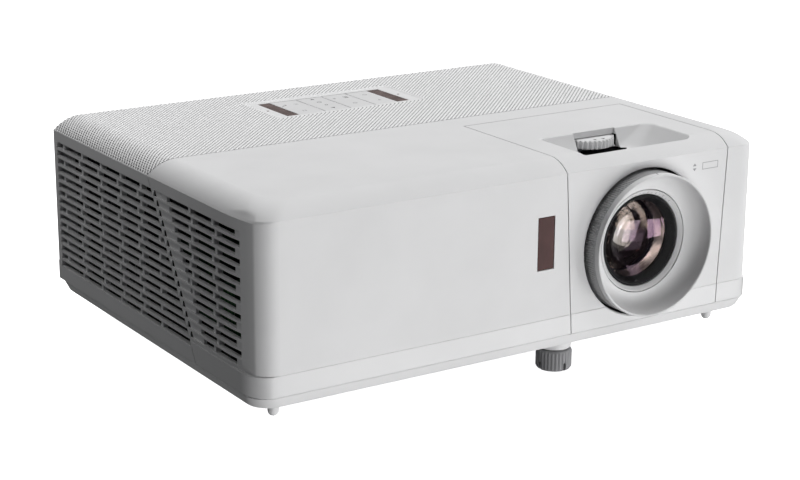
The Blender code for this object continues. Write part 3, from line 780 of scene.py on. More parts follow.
def build_lens_cover():
    obj = shell("lens_cover_shell")
    boolean(obj, prism(lens_outline(SEAM_GAP / 2), "y", -20.0, LENS_COVER_BACK - SEAM_GAP / 2), "INTERSECT")
    edge = solid("edge", prism(lens_outline(-2.0), "y", -30.0, LENS_COVER_BACK + 4.0), WHITE)
    boolean(edge, prism(lens_outline(2.9), "y", -40.0, LENS_COVER_BACK - 2.9))
    boolean(obj, common(taken(edge), inner_case(1.15, 1.15, bottom=-10.0)))
    hole = [(0, -5.0), (48.5, -5.0), (48.5, 0.3), (48.1, 0.45), (47.75, 0.9), (47.7, 1.4), (47.7, 5.0),
            (0, 5.0)]
    boolean(obj, lathe(hole, "y", LENS, 128))
    collar = [(47.7, 1.6), (49.4, 1.6), (49.4, 9.8), (40.5, 9.8), (40.5, 8.8), (47.7, 8.8)]
    # The collar in the lens opening is painted in shade.
    boolean(obj, lathe(collar, "y", LENS, 128), "UNION", INSIDE_PAINTED_SHADE)
    boolean(obj, boxes(((236.0, 9.8, POCKET_FLOOR - 1.6), (329.8, 60.6, 116.5))), "UNION")
    boolean(obj, scoop())
    boolean(obj, boxes(((264.8, 50.5, POCKET_FLOOR + 0.3), (298.6, 58.75, 119.8))))
    # Painted shade in the slot behind the wheel.
    boolean(obj, boxes(((263.0, 56.0, POCKET_FLOOR + 0.3), (300.4, 64.0, 114.6))), material=INSIDE_PAINTED_SHADE)
    well = rounded((264.8, 47.0), (302.0, 63.0), 2.5)
    # Painted shade in the well under the wheel.
    boolean(obj, prism(well, "z", POCKET_FLOOR - 0.9, POCKET_FLOOR + 0.6), material=INSIDE_PAINTED_SHADE)
    paint_band(obj)
    finish_piece(obj, "case", "white_plastic", "lens_cover")


def build_top_cover():
    drop = 1.1
    obj = shell("top_cover_shell", drop)
    boolean(obj, grille_pads(False), "UNION")
    boolean(obj, seam_strip(SEAM_GAP / 2, 260.0), "INTERSECT")
    tongue = skirt(seam_strip(-2.4, 3.2))
    # The tongue behind the seam is painted in shade, so that the seam reads as a dark line.
    boolean(obj, tongue, "UNION", INSIDE_PAINTED_SHADE)
    rim = ((KEYS_X[0] - 1.8, KEYS_Y[0] - 1.8, 113.6), (KEYS_X[1] + 1.8, KEYS_Y[1] + 1.8, 117.0))
    boolean(obj, boxes(rim), "UNION")
    boolean(obj, boxes(((KEYS_X[0], KEYS_Y[0], 105.0), (KEYS_X[1], KEYS_Y[1], 125.0))))
    slots, bars = back_grille()
    boolean(obj, boxes(*slots))
    boolean(obj, boxes(*bars), "UNION")
    finish_piece(obj, "case", "white_plastic", "top_cover")
    return obj


def top_surface(along):
    """(x, z) of a point on the top at an arc length from the middle, over the side arcs to the hard edges."""
    reach = abs(along)
    if reach <= TOP_FLAT:
        return WIDTH / 2 + along, HEIGHT
    turn = (reach - TOP_FLAT) / SIDE_ARC_R
    share = (TOP_INSET - BAND_STEP) / TOP_INSET
    x = TOP_FLAT + SIDE_ARC_R * math.sin(turn) * share
    return WIDTH / 2 + math.copysign(x, along), HEIGHT - SIDE_ARC_R * (1 - math.cos(turn))


def snapped(lines, targets):
    """Moves the grid line nearest to each target onto it."""
    for target in targets:
        nearest = min(range(len(lines)), key=lambda i: abs(lines[i] - target))
        lines[nearest] = target
    return lines


def texture_lines():
    """Arc lengths of the grid's columns and depths of its rows, with lines on the key opening's edges."""
    turn = math.acos(1 - (HEIGHT - SIDE_EDGE_Z) / SIDE_ARC_R)
    reach = TOP_FLAT + SIDE_ARC_R * turn
    columns = int(reach / TEXTURE_STEP)
    across = [-reach] + [k * TEXTURE_STEP for k in range(-columns, columns + 1)] + [reach]
    front = SEAM_HIGH[0] + SEAM_GAP / 2
    rows = int((DEPTH - front - 1.2) / TEXTURE_STEP)
    depths = [front + 0.15] + [front + 0.6 + k * TEXTURE_STEP for k in range(rows + 1)] + [DEPTH]
    snapped(across, [x - WIDTH / 2 for x in KEYS_X])
    snapped(depths, KEYS_Y)
    return across, depths


def texture_grid(bm, across, depths):
    """Points of the skin, with every second one of every second row sunk into a pit, staggered by row."""
    cavity = bm.verts.layers.float.new("cavity")
    low, high = (128.0, 195.0), (242.0, 247.0)
    grid = []
    for i, u in enumerate(across):
        x, z = top_surface(u)
        turn = max(0.0, abs(u) - TOP_FLAT) / SIDE_ARC_R
        normal = Vector((math.copysign(math.sin(turn), u), 0.0, math.cos(turn)))
        line = []
        for j, y in enumerate(depths):
            inside = min(x - low[0], high[0] - x, y - low[1], high[1] - y)
            plain = inside > -1.2 or abs(u) > across[-1] - 1.0
            dimple = i % 2 == 0 and j % 2 == 0 and (i + j) % 4 == 0
            pit = PIT_DEPTH if dimple and not plain else 0.0
            sunk = 0.42 * smooth(inside / 1.6) + pit
            vertex = bm.verts.new(Vector((x, y, z)) - sunk * normal)
            # The cavity value sets how much painted shade the skin's material puts on each point; the plain
            # border gets a little.
            vertex[cavity] = BORDER_SHADE if plain else pit / PIT_DEPTH
            line.append(vertex)
        grid.append(line)
    return grid


def turn_down_border(bm):
    """Folds the rim of the skin down into the case, so that no edge of it shows."""
    border = [edge for edge in bm.edges if edge.is_boundary]
    made = bmesh.ops.extrude_edge_only(bm, edges=border)
    for vertex in [v for v in made["geom"] if isinstance(v, bmesh.types.BMVert)]:
        side = vertex.co.x - WIDTH / 2
        lean = max(0.0, abs(side) - TOP_FLAT) / TOP_INSET
        vertex.co -= 1.35 * Vector((math.copysign(0.7 * lean, side), 0.0, 1.0 - 0.3 * lean))


def build_top_texture():
    """The dimpled skin of the back cover, smooth along its edges and round the keys."""
    bm = bmesh.new()
    across, depths = texture_lines()
    grid = texture_grid(bm, across, depths)
    for i in range(len(across) - 1):
        for j in range(len(depths) - 1):
            mid_x = WIDTH / 2 + (across[i] + across[i + 1]) / 2
            mid_y = (depths[j] + depths[j + 1]) / 2
            if KEYS_X[0] < mid_x < KEYS_X[1] and KEYS_Y[0] < mid_y < KEYS_Y[1]:
                continue
            bm.faces.new([grid[i][j], grid[i + 1][j], grid[i + 1][j + 1], grid[i][j + 1]])
    bmesh.ops.delete(bm, geom=[v for v in bm.verts if not v.link_faces], context="VERTS")
    turn_down_border(bm)
    obj = solid("top_cover_texture", bm, WHITE_SKIN_PAINTED_SHADE)
    if sum(face.normal.z for face in obj.data.polygons) < 0:
        obj.data.flip_normals()
    finish_piece(obj, "case", "white_plastic", angle=8.0, weighted=False)


def build_base_tray():
    def outline(inset, corner, z):
        back_r = corner / 2
        radii = (corner, corner, back_r, back_r)
        plan_points = rounded((inset, inset), (WIDTH - inset, DEPTH - inset), corner, steps=12, radii=radii)
        return [(x, y, z) for x, y in plan_points]

    rings = [outline(5.5, 13.0, 0.0), outline(4.4, 13.6, 0.25), outline(3.2, 14.4, 1.4)]
    rings += [outline(0.9, 14.0, TRAY_TOP - 0.4), outline(1.1, 13.8, TRAY_TOP)]
    obj = solid("base_tray_shell", loft(rings), WHITE_TRAY_PAINTED_LIGHT)
    hollow = [outline(8.5, 11.0, 2.5), outline(4.2, 12.0, TRAY_TOP + 2)]
    # Painted shade inside the tray's hollow.
    boolean(obj, loft(hollow), material=INSIDE_PAINTED_SHADE)
    bosses = bmesh.new()
    lathe_into(bosses, [(0, -7.0), (10.2, -7.0), (10.7, -6.6), (12.0, 1.2), (12.0, 20.0), (0, 20.0)], "z",
               FRONT_FOOT, 48)
    for x in BACK_FEET_X.values():
        lathe_into(bosses, [(0, -9.0), (8.0, -9.0), (8.4, -8.6), (9.2, 1.2), (9.2, 20.0), (0, 20.0)], "z",
                   (x, BACK_FEET_Y), 40)
    for x in (22.0, 352.0):
        dome = [(0, -10.8), (1.0, -10.7), (1.9, -10.3), (2.6, -9.6), (3.1, -8.7), (3.4, -7.2), (3.5, -3.0),
                (4.6, -2.6), (4.8, 1.2), (0, 1.2)]
        lathe_into(bosses, dome, "z", (x, 20.0), 32)
    for x, y in ((110.0, 60.0), (290.0, 120.0), (110.0, 200.0)):
        lathe_into(bosses, [(0, -1.0), (6.7, -1.0), (7.0, -0.7), (7.0, 1.2), (0, 1.2)], "z", (x, y), 32)
    boolean(obj, bosses, "UNION")
    bores = bmesh.new()
    lathe_into(bores, [(0, -12.0), (7.4, -12.0), (7.4, 30.0), (0, 30.0)], "z", FRONT_FOOT, 48, phase=0.5)
    for x in BACK_FEET_X.values():
        profile = [(0, -12.0), (4.4, -12.0), (4.4, 30.0), (0, 30.0)]
        lathe_into(bores, profile, "z", (x, BACK_FEET_Y), 40, phase=0.5)
    # Painted shade in the foot bores.
    boolean(obj, bores, material=INSIDE_PAINTED_SHADE)
    vents = []
    for k in range(14):
        x = 150.0 + 7.0 * k
        vents.append(((x, 170.0, -3.0), (x + 3.0, 196.0, 6.0)))
    # Painted shade in the vents.
    boolean(obj, boxes(*vents), material=INSIDE_PAINTED_SHADE)
    finish_piece(obj, "case", "white_plastic", "base_tray")


# Lens

def tube(name, profile, body, slot, material, *nodes, steps=128, ripple=None, angle=30.0):
    return piece(name, lathe(profile, "y", LENS, steps, ripple), body, slot, material, *nodes, angle=angle)


def build_zoom_ring():
    ribs = 180
    knurl = [(45.2, -7.0), (45.35, -6.6), (45.35, 6.6), (45.2, 6.9)]
    profile = [(44.9, -11.5), (45.45, -11.5), (45.75, -11.4), (45.93, -11.2), (46.0, -10.9), (46.0, -7.6),
               (45.85, -7.3), (45.2, -7.15)]
    first = len(profile)
    profile += knurl + [(45.2, 7.3), (44.8, 7.4), (37.3, 7.4), (37.3, 3.2), (33.5, 3.2), (33.5, 2.1)]
    for k in range(17):
        turn = 0.5 * math.pi * (1 - k / 16)
        profile.append((33.7 + 10.7 * math.cos(turn) ** 0.9, -10.9 + 12.7 * math.sin(turn) ** 0.9))

    def ripple(index, step):
        wave = (0.0, 0.62, 0.62, 0.0)[step % 4]
        return wave if index in (first + 1, first + 2) else 0.0

    obj = tube("zoom_ring_knurled", profile, "zoom_ring_turning", "white_plastic", RING_GREY, "zoom_ring",
               steps=4 * ribs, ripple=ripple, angle=24.0)
    obj.data.materials.append(RING_KNURL_PAINTED_SHADE)
    obj.data.materials.append(RING_CONE)
    steps = 4 * ribs
    for face in obj.data.polygons:
        band = face.index // steps
        # The knurled band takes the darker grey of painted shade.
        if first - 1 <= band <= first + 3:
            face.material_index = 1
        elif band >= first + 9 or band == 0:
            face.material_index = 2
    mark = [(-0.4, -10.2), (0.4, -10.2), (0.4, -8.2), (-0.4, -8.2)]
    bm = prism([(LENS[0] + x, y) for x, y in mark], "z", LENS[1] + 45.9, LENS[1] + 46.05)
    finish_piece(solid("zoom_ring_mark", bm, PRINT), "zoom_ring_turning", "white_plastic")


def build_focus_ring():
    profile = [(32.6, 1.9), (33.1, 2.3), (33.1, 12.0), (30.0, 12.0), (30.0, 4.0), (30.25, 3.6), (31.0, 3.0),
               (32.2, 2.0)]
    tube("focus_ring_shell", profile, "focus_ring_turning", "white_plastic", RING_GREY, "focus_ring")
    bm = bmesh.new()
    for k in range(15):
        angle = math.radians(48.0 + 6.0 * k)
        length = 1.0 if k % 2 else 1.6
        direction = Vector((math.cos(angle), 0.0, math.sin(angle)))
        across = Vector((-math.sin(angle), 0.0, math.cos(angle)))
        ends = []
        for r, y in ((30.45, 3.34), (30.45 + length * 0.9, 3.34 - length * 0.75)):
            for w in (-0.14, 0.14):
                for lift in (0.0, -0.12):
                    centre = Vector((LENS[0], y + lift, LENS[1]))
                    ends.append(centre + direction * r + across * w)
        hexahedron_into(bm, ends)
    piece("focus_ring_ticks", bm, "focus_ring_turning", "white_plastic", PRINT_FAINT)


def dish(radius, sag, y, rim, steps=10):
    """One face of a lens, from its middle out. A positive sag brings the middle forward."""
    curve = (radius * radius + sag * sag) / (2 * abs(sag))
    points = []
    for k in range(steps + 1):
        r = radius * k / steps
        fall = curve - math.sqrt(curve * curve - r * r)
        points.append((r, y - sag + math.copysign(fall, sag)))
    return points + ([(rim, y)] if rim > radius else [])


def build_lens():
    cell = [(28.3, 4.0), (29.1, 4.1), (29.5, 4.6), (29.5, 36.0), (20.5, 36.0)]
    for k in range(7):
        y = 34.5 - 1.6 * k
        cell += [(20.5, y), (21.1, y - 0.6), (20.5, y - 0.9)]
    first = len(cell)
    for k in range(5):
        r, y = 20.5 + 1.28 * k, 22.4 - 1.9 * k
        cell += [(r, y + 0.25), (r + 0.2, y)]
    cell += [(25.62, 9.8), (25.0, 9.7), (25.0, 9.2), (25.4, 8.8), (28.0, 4.1)]
    obj = tube("front_lens_holder", cell, "focus_group", "black_plastic", BLACK_GLOSS, "front_lens_cell")
    obj.data.materials.append(BRONZE)
    for face in obj.data.polygons:
        if first - 2 <= face.index // 128 < first + 10:
            face.material_index = 1
    barrel = [(33.5, 3.6), (36.8, 3.6), (36.8, 100.0), (18.4, 100.0), (18.4, 94.0), (29.9, 94.0)]
    for k in range(12):
        y = 92.0 - 2.0 * k
        barrel += [(29.9, y), (30.6, y - 0.8), (29.9, y - 1.1)]
    barrel += [(29.9, 12.4), (33.5, 12.4)]
    tube("lens_barrel_shell", barrel, "shift_carriage", "black_plastic", BLACK, "lens_barrel")
    carrier = [(29.5, 44.0), (29.5, 66.0), (19.6, 66.0), (19.6, 44.6), (20.2, 44.0)]
    tube("zoom_carrier", carrier, "zoom_group", "black_plastic", BLACK_GLOSS, "zoom_cell")

    def element(name, body, node, material, front, back):
        tube(name, front + list(reversed(back)), body, "lens_glass", material, node, steps=96, angle=40.0)

    element("front_glass", "focus_group", "front_lens", GLASS_FRONT,
            dish(24.6, 5.0, 10.1, 25.3), dish(25.3, -2.2, 14.0, 25.3))
    element("second_glass", "focus_group", "second_lens", GLASS_SECOND,
            dish(20.2, 3.4, 25.5, 20.2), dish(20.2, -3.4, 29.5, 20.2))
    element("zoom_glass", "zoom_group", "zoom_lens", GLASS_ZOOM,
            dish(19.3, 3.0, 50.0, 19.3), dish(19.3, -4.0, 56.0, 19.3))
    element("rear_glass", "shift_carriage", "rear_lens", GLASS_REAR,
            dish(18.1, 1.6, 94.6, 18.1), dish(18.1, -2.0, 97.6, 18.1))


# Controls

def arrow(bm, tip, base, half_width, low, high):
    """A flat triangle from z = low to z = high."""
    tip, base = Vector(tip), Vector(base)
    across = (tip - base).orthogonal().normalized() * half_width
    corners = [tip, base + across, base - across]
    lower = [bm.verts.new((c.x, c.y, low)) for c in corners]
    upper = [bm.verts.new((c.x, c.y, high)) for c in corners]
    bm.faces.new(lower)
    bm.faces.new(upper)
    for i in range(3):
        j = (i + 1) % 3
        bm.faces.new([lower[i], lower[j], upper[j], upper[i]])


def build_dial():
    low, high = 108.2, 114.2
    profile = [(0, low), (DIAL_R - 2.4, low), (DIAL_R - 1.7, low + 0.3), (DIAL_R - 0.9, low + 0.7),
               (DIAL_R - 0.9, high - 0.9), (DIAL_R - 1.3, high - 0.35), (DIAL_R - 2.6, high), (0, high)]

    def ripple(index, step):
        if index not in (2, 3, 4, 5):
            return 0.0
        wave = (0.9, 0.9, 0.62, -0.55, -0.8, -0.8, -0.55, 0.62)[step % 8]
        return wave if index in (3, 4) else 0.7 * wave

    bm = lathe(profile, "z", DIAL, 34 * 8, ripple)
    piece("lens_shift_wheel", bm, "shift_dial", "white_plastic", DIAL_WHITE, "lens_shift_dial", angle=35.0)
    marks = bmesh.new()
    for turn in (math.radians(-103), math.radians(-77)):
        centre = Vector(DIAL) + 13.2 * Vector((math.cos(turn), math.sin(turn)))
        side = Vector((-math.sin(turn), math.cos(turn))) * (1 if turn > math.radians(-90) else -1)
        arrow(marks, centre + 2.0 * side, centre - 0.4 * side, 1.3, high - 0.02, high + 0.04)
    piece("lens_shift_marks", marks, "shift_dial", "white_plastic", PRINT)


def mark_boxes(name, body, material, z, *shapes):
    """Flat printed marks, each given as (x, y, width, depth, turn in degrees)."""
    bm = bmesh.new()
    for x, y, width, depth, turn in shapes:
        angle = math.radians(turn)
        corners = []
        for a, b in ((-1, -1), (1, -1), (1, 1), (-1, 1)):
            u, v = a * width / 2, b * depth / 2
            corners.append((x + u * math.cos(angle) - v * math.sin(angle),
                            y + u * math.sin(angle) + v * math.cos(angle)))
        loft_into(bm, [[(px, py, level) for px, py in corners] for level in (z - 0.02, z + 0.03)])
    piece(name, bm, body, "white_plastic", material)


def ring_mark(bm, x, y, radius, width, z):
    count = 20
    rings = []
    for level in (z - 0.02, z + 0.03):
        for reach in (radius, radius - width):
            turns = [2 * math.pi * k / count for k in range(count)]
            rings.append([bm.verts.new((x + reach * math.cos(turn), y + reach * math.sin(turn), level))
                          for turn in turns])
    lower_out, lower_in, upper_out, upper_in = rings
    for k in range(count):
        n = (k + 1) % count
        around = (lower_out, lower_in, upper_in, upper_out, lower_out)
        for a, b in zip(around, around[1:]):
            bm.faces.new([a[k], a[n], b[n], b[k]])


def build_keys():
    top = 118.1
    low_y, high_y = KEYS_Y[0] + 0.35, KEYS_Y[1] - 0.35
    for index in range(4):
        low, high = KEY_EDGES[index] + 0.28, KEY_EDGES[index + 1] - 0.28
        bm = soft_block((low, low_y, 114.0), (high, high_y, top), 0.5, 0.35)
        name = f"key_plate_{index + 1}"
        piece(f"{name}_moulded", bm, f"key_{index + 1}", "white_plastic", WHITE_KEY, name)
    windows = (("left", KEYS_X[0] + 0.3, KEY_EDGES[0] - 0.28),
               ("right", KEY_EDGES[-1] + 0.28, KEYS_X[1] - 0.3))
    for side, low, high in windows:
        bm = soft_block((low, low_y, 113.5), (high, high_y, top), 0.5, 0.35)
        piece(f"key_window_{side}_gloss", bm, "case", "smoked_plastic", SMOKED_KEYS, f"key_window_{side}")
    mark_boxes("key_1_marks", "key_1", PRINT, top, (148.2, 227.3, 3.4, 0.7, 30), (150.6, 229.0, 0.7, 2.2, 0))
    mark_boxes("key_1_light_marks", "key_1", PRINT_FAINT, top, (158.5, 227.5, 2.6, 0.5, 0),
               (158.5, 229.2, 2.6, 0.5, 0), (152.6, 208.5, 0.6, 2.4, 0), (154.6, 208.5, 0.6, 2.4, 0))
    arrows = bmesh.new()
    arrow(arrows, (175.0, 236.8), (175.0, 234.2), 1.6, top - 0.02, top + 0.03)
    arrow(arrows, (175.0, 204.6), (175.0, 207.2), 1.6, top - 0.02, top + 0.03)
    ring_mark(arrows, 175.0, 225.4, 1.7, 0.45, top)
    ring_mark(arrows, 175.0, 215.8, 1.2, 0.4, top)
    piece("key_2_marks", arrows, "key_2", "white_plastic", PRINT)
    mark_boxes("key_3_marks", "key_3", PRINT, top, *[(199.0, y, 3.2, 0.7, 0) for y in (230.0, 231.6, 228.4)])
    faint = bmesh.new()
    ring_mark(faint, 195.0, 211.0, 1.6, 0.4, top)
    arrow(faint, (188.2, 230.0), (190.6, 230.0), 1.3, top - 0.02, top + 0.03)
    piece("key_3_light_marks", faint, "key_3", "white_plastic", PRINT_FAINT)
    faint = bmesh.new()
    ring_mark(faint, 214.5, 230.0, 1.7, 0.4, top)
    arrow(faint, (214.5, 212.2), (214.5, 209.8), 1.3, top - 0.02, top + 0.03)
    piece("key_4_marks", faint, "key_4", "white_plastic", PRINT_FAINT)
    leds = bmesh.new()
    for x in (131.2, 235.2):
        dome = [(0, 117.6), (0.9, 117.6), (0.9, 118.22), (0.6, 118.3), (0, 118.32)]
        lathe_into(leds, dome, "z", (x, 219.0), 20)
    piece("status_lights", leds, "case", "smoked_plastic", SMOKED_KEYS)
    window = soft_block((195.6, 2.6, 53.1), (207.8, 0.45, 86.3), 0.5, 0.3, facing="y")
    piece("receiver_window_gloss", window, "case", "smoked_plastic", SMOKED, "receiver_window")


# Feet

def build_feet():
    x, y = FRONT_FOOT
    profile = [(0, -21.5), (9.6, -21.5), (10.4, -21.2), (11.0, -20.5), (11.1, -19.6), (11.1, -9.6),
               (10.9, -8.6), (10.3, -7.9), (0, -7.8)]

    def ripple(index, step):
        wave = (0.4, 0.4, 0.0, 0.0)[step % 4]
        return wave if index in (4, 5) else 0.0

    bm = lathe(profile, "z", (x, y), 4 * 30, ripple)
    knob = solid("front_foot_turning", bm, FOOT_GREY)
    half = 1.1
    spans = [((9.4, -half), (13.0, half)), ((-13.0, -half), (-9.4, half)),
             ((-half, 9.4), (half, 13.0)), ((-half, -13.0), (half, -9.4))]
    notches = boxes(*[((x + low[0], y + low[1], -24.0), (x + high[0], y + high[1], -16.0))
                      for low, high in spans])
    boolean(knob, notches)
    finish_piece(knob, "front_foot_turner", "grey_rubber", "front_foot_knob")
    for side, x in BACK_FEET_X.items():
        profile = [(0, -21.5), (8.2, -21.5), (9.0, -21.2), (9.5, -20.5), (9.6, -19.8), (9.6, -11.4),
                   (9.3, -10.6), (8.6, -10.2), (0, -10.2)]
        bm = lathe(profile, "z", (x, BACK_FEET_Y), 64)
        piece(f"back_{side}_foot_rubber", bm, f"back_{side}_foot_turner", "grey_rubber", RUBBER,
              f"back_{side}_foot_pad")


# Back panel and sockets

# Each socket's middle (x, z), outer width and height, mouth (width, height), inner end y and mouth depth
SOCKETS = {
    "hdmi_socket_1": (96.0, 29.2, 15.6, 6.4, (14.0, 4.7), 262.0, 9.0),
    "hdmi_socket_2": (120.0, 29.2, 15.6, 6.4, (14.0, 4.7), 262.0, 9.0),
    "video_socket": (152.0, 32.4, 31.0, 12.8, (16.8, 8.4), 262.0, 6.0),
    "network_socket": (216.0, 32.9, 16.4, 13.8, (11.8, 8.4), 258.0, 12.0),
    "usb_socket": (240.0, 29.6, 14.6, 7.2, (12.6, 5.2), 262.0, 9.0),
    "serial_socket": (270.0, 32.4, 31.0, 12.8, (16.8, 8.4), 262.0, 6.0),
    "power_inlet": (52.0, 36.0, 30.0, 24.0, (24.6, 17.0), 252.0, 16.0),
}
JACKS = {"audio_in_jack": 180.0, "audio_out_jack": 194.0}


def build_back_panel():
    inset = SIDE_WALL + 0.3
    outline = [(inset, TRAY_TOP + 0.02), (WIDTH - inset, TRAY_TOP + 0.02), (WIDTH - inset, 107.4)]
    arc = []
    for z in (108.0, 109.6, 111.2, 112.6, 113.8, 114.8, 115.3):
        arc.append((inset_on_arc(z + TOP_WALL, SIDE_ARC_R) + inset + 0.1, z))
    outline += [(WIDTH - x, z) for x, z in arc] + [(x, z) for x, z in reversed(arc)] + [(inset, 107.4)]
    obj = solid("back_panel_moulded", prism(outline, "y", 271.9, 274.3), WHITE)
    holes = bmesh.new()
    for x, z, width, height, _, _, _ in SOCKETS.values():
        box_into(holes, (x - width / 2 - 0.3, 268.0, z - height / 2 - 0.3),
                 (x + width / 2 + 0.3, 278.0, z + height / 2 + 0.3))
    for x in JACKS.values():
        lathe_into(holes, [(0, 268.0), (4.4, 268.0), (4.4, 278.0), (0, 278.0)], "y", (x, 30.4), 32)
    for x in (14.0, 360.0):
        bore = [(0, 268.0), (1.45, 268.0), (1.45, 273.2), (3.0, 273.2), (3.0, 278.0), (0, 278.0)]
        lathe_into(holes, bore, "y", (x, 16.0), 32)
    for k in range(40):
        x = 34.0 + 8.0 * k
        for z in (84.0, 90.0, 96.0):
            box_into(holes, (x - 2.6, 268.0, z), (x + 2.6, 278.0, z + 3.0))
    boolean(obj, holes)
    boolean(obj, boxes(((30.0, 273.7, 16.0), (300.0, 276.0, 52.0))))
    finish_piece(obj, "case", "white_plastic", "back_panel")


def pins(bm, x, z, columns, rows, pitch, back, front, radius=0.35):
    for row in range(rows):
        for column in range(columns):
            lathe_into(bm, [(0, back), (radius, back), (radius, front - 0.3), (0, front)], "y",
                       (x + (column - (columns - 1) / 2) * pitch, z + (row - (rows - 1) / 2) * pitch), 10)


def build_tongue_socket(name):
    """The tongue and contacts inside a flat socket."""
    x, z, _, _, mouth, _, depth = SOCKETS[name]
    tongue = soft_block((x - mouth[0] / 2 + 1.6, DEPTH - depth - 0.5, z - 0.7),
                        (x + mouth[0] / 2 - 1.6, DEPTH - 1.4, z + 0.7), 0.3, 0.25, facing="y")
    piece(f"{name}_tongue", tongue, "case", "black_plastic", BLACK)
    contacts = bmesh.new()
    count = 9 if name.startswith("hdmi") else 4
    span = mouth[0] - 5.0
    for k in range(count):
        cx = x - span / 2 + span * k / (count - 1)
        box_into(contacts, (cx - 0.22, DEPTH - depth, z + 0.65), (cx + 0.22, DEPTH - 2.0, z + 0.78))
    piece(f"{name}_contacts", contacts, "case", "steel", GOLD)


def build_pin_socket(name, columns, rows, pitch):
    """The rim, pins and screw posts of a wide socket."""
    x, z, _, _, _, _, depth = SOCKETS[name]
    outside = soft_block((x - 9.0, DEPTH - 4.0, z - 4.8), (x + 9.0, DEPTH - 0.02, z + 4.8), 2.4, 0.3, "y")
    inside = soft_block((x - 8.2, DEPTH - 6.0, z - 4.0), (x + 8.2, DEPTH + 1.0, z + 4.0), 2.0, 0.1, "y")
    rim = solid(f"{name}_rim", outside, NICKEL)
    boolean(rim, inside)
    finish_piece(rim, "case", "steel")
    bm = bmesh.new()
    pins(bm, x, z, columns, rows, pitch, DEPTH - depth - 0.5, DEPTH - 1.6)
    piece(f"{name}_pins", bm, "case", "steel", GOLD)
    posts = bmesh.new()
    post = [(0, DEPTH - 3), (2.4, DEPTH - 3), (2.4, DEPTH - 0.1), (1.3, DEPTH - 0.1), (1.3, DEPTH - 2.0),
            (0, DEPTH - 2.0)]
    for side in (-1, 1):
        lathe_into(posts, post, "y", (x + side * 12.5, z), 6)
    piece(f"{name}_posts", posts, "case", "steel", NICKEL, angle=20.0)


def build_panel_screw(side, x):
    """A cross-head screw in the back panel."""
    head = [(0, 266.0), (1.4, 266.0), (1.4, 273.5), (2.5, 273.5), (2.7, 273.8), (2.5, 274.3), (1.6, 274.6),
            (0, 274.65)]
    screw = solid(f"panel_screw_{side}", lathe(head, "y", (x, 16.0), 32), STEEL)
    boolean(screw, boxes(((x - 1.7, 274.0, 15.7), (x + 1.7, 276.0, 16.3))))
    boolean(screw, boxes(((x - 0.3, 274.05, 14.3), (x + 0.3, 276.0, 17.7))))
    finish_piece(screw, "case", "steel", f"back_panel_screw_{side}")


def build_sockets():
    for name in ("hdmi_socket_1", "hdmi_socket_2", "usb_socket"):
        build_tongue_socket(name)
    for name, columns, rows, pitch in (("video_socket", 5, 3, 2.2), ("serial_socket", 5, 2, 2.7)):
        build_pin_socket(name, columns, rows, pitch)
    x, z, _, _, _, _, depth = SOCKETS["power_inlet"]
    blades = []
    for dx, dz in ((-7.0, -2.0), (7.0, -2.0), (0.0, 2.6)):
        blades.append(((x + dx - 0.9, DEPTH - depth - 0.5, z + dz - 2.2),
                       (x + dx + 0.9, DEPTH - 3.0, z + dz + 2.2)))
    piece("power_inlet_blades", boxes(*blades), "case", "steel", NICKEL)
    x, z, _, _, _, _, depth = SOCKETS["network_socket"]
    contacts = []
    for k in range(8):
        cx = x - 4.2 + 1.2 * k
        contacts.append(((cx - 0.2, DEPTH - depth, z + 2.6), (cx + 0.2, DEPTH - 3.0, z + 3.0)))
    piece("network_socket_contacts", boxes(*contacts), "case", "steel", GOLD)
    for side, x in (("left", 14.0), ("right", 360.0)):
        build_panel_screw(side, x)


# CAD nodes that keep their shape

KEPT = {
    ALLOY: ("lens_carriage", "light_engine", "chip_heatsink", "laser_module", "laser_heatsink"),
    STEEL: ("lens_guide_rod_left", "lens_guide_rod_right", "lens_shift_screw", "wheel_motor",
            "back_left_foot_stem", "back_right_foot_stem"),
    PHOSPHOR: ("phosphor_wheel",),
    BOARD: ("power_supply_board", "main_board", "keypad_board"),
    NICKEL: ("hdmi_socket_1", "hdmi_socket_2", "usb_socket", "network_socket"),
    BLACK: ("left_fan_frame", "right_fan_frame", "left_fan_rotor", "right_fan_rotor", "speaker",
            "video_socket", "serial_socket", "power_inlet", "audio_in_jack", "audio_out_jack"),
    WHITE: ("front_foot_stem",),
}


def dress_kept_nodes():
    for material, names in KEPT.items():
        for name in names:
            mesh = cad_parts[name].data
            mesh.materials.clear()
            mesh.materials.append(material)
            mesh.shade_smooth()
            mesh.set_sharp_from_angle(angle=math.radians(30.0))


# Marks on the front

def build_front_marks():
    """A small outlined lamp sign and a double arrow, by the dial's corner of the front."""
    def bar(low_x, high_x, low_z, high_z):
        return ((low_x, BAND_STEP - 0.05, low_z), (high_x, BAND_STEP + 0.1, high_z))
    line = 0.35
    frame_bars = [bar(324.5, 337.5, 99.6, 99.6 + line), bar(324.5, 337.5, 104.2 - line, 104.2),
                  bar(324.5, 324.5 + line, 99.6, 104.2), bar(337.5 - line, 337.5, 99.6, 104.2)]
    bm = boxes(*frame_bars)
    for tip, base in (((318.0, 104.4), (318.0, 102.6)), ((318.0, 99.4), (318.0, 101.2))):
        half = 1.5
        outline = [tip, (base[0] + half, base[1]), (base[0] - half, base[1])]
        rings = [[(x, y, z) for x, z in outline] for y in (BAND_STEP - 0.05, BAND_STEP + 0.1)]
        loft_into(bm, rings)
    piece("front_marks", bm, "case", "white_plastic", PRINT_FAINT)


# Stage

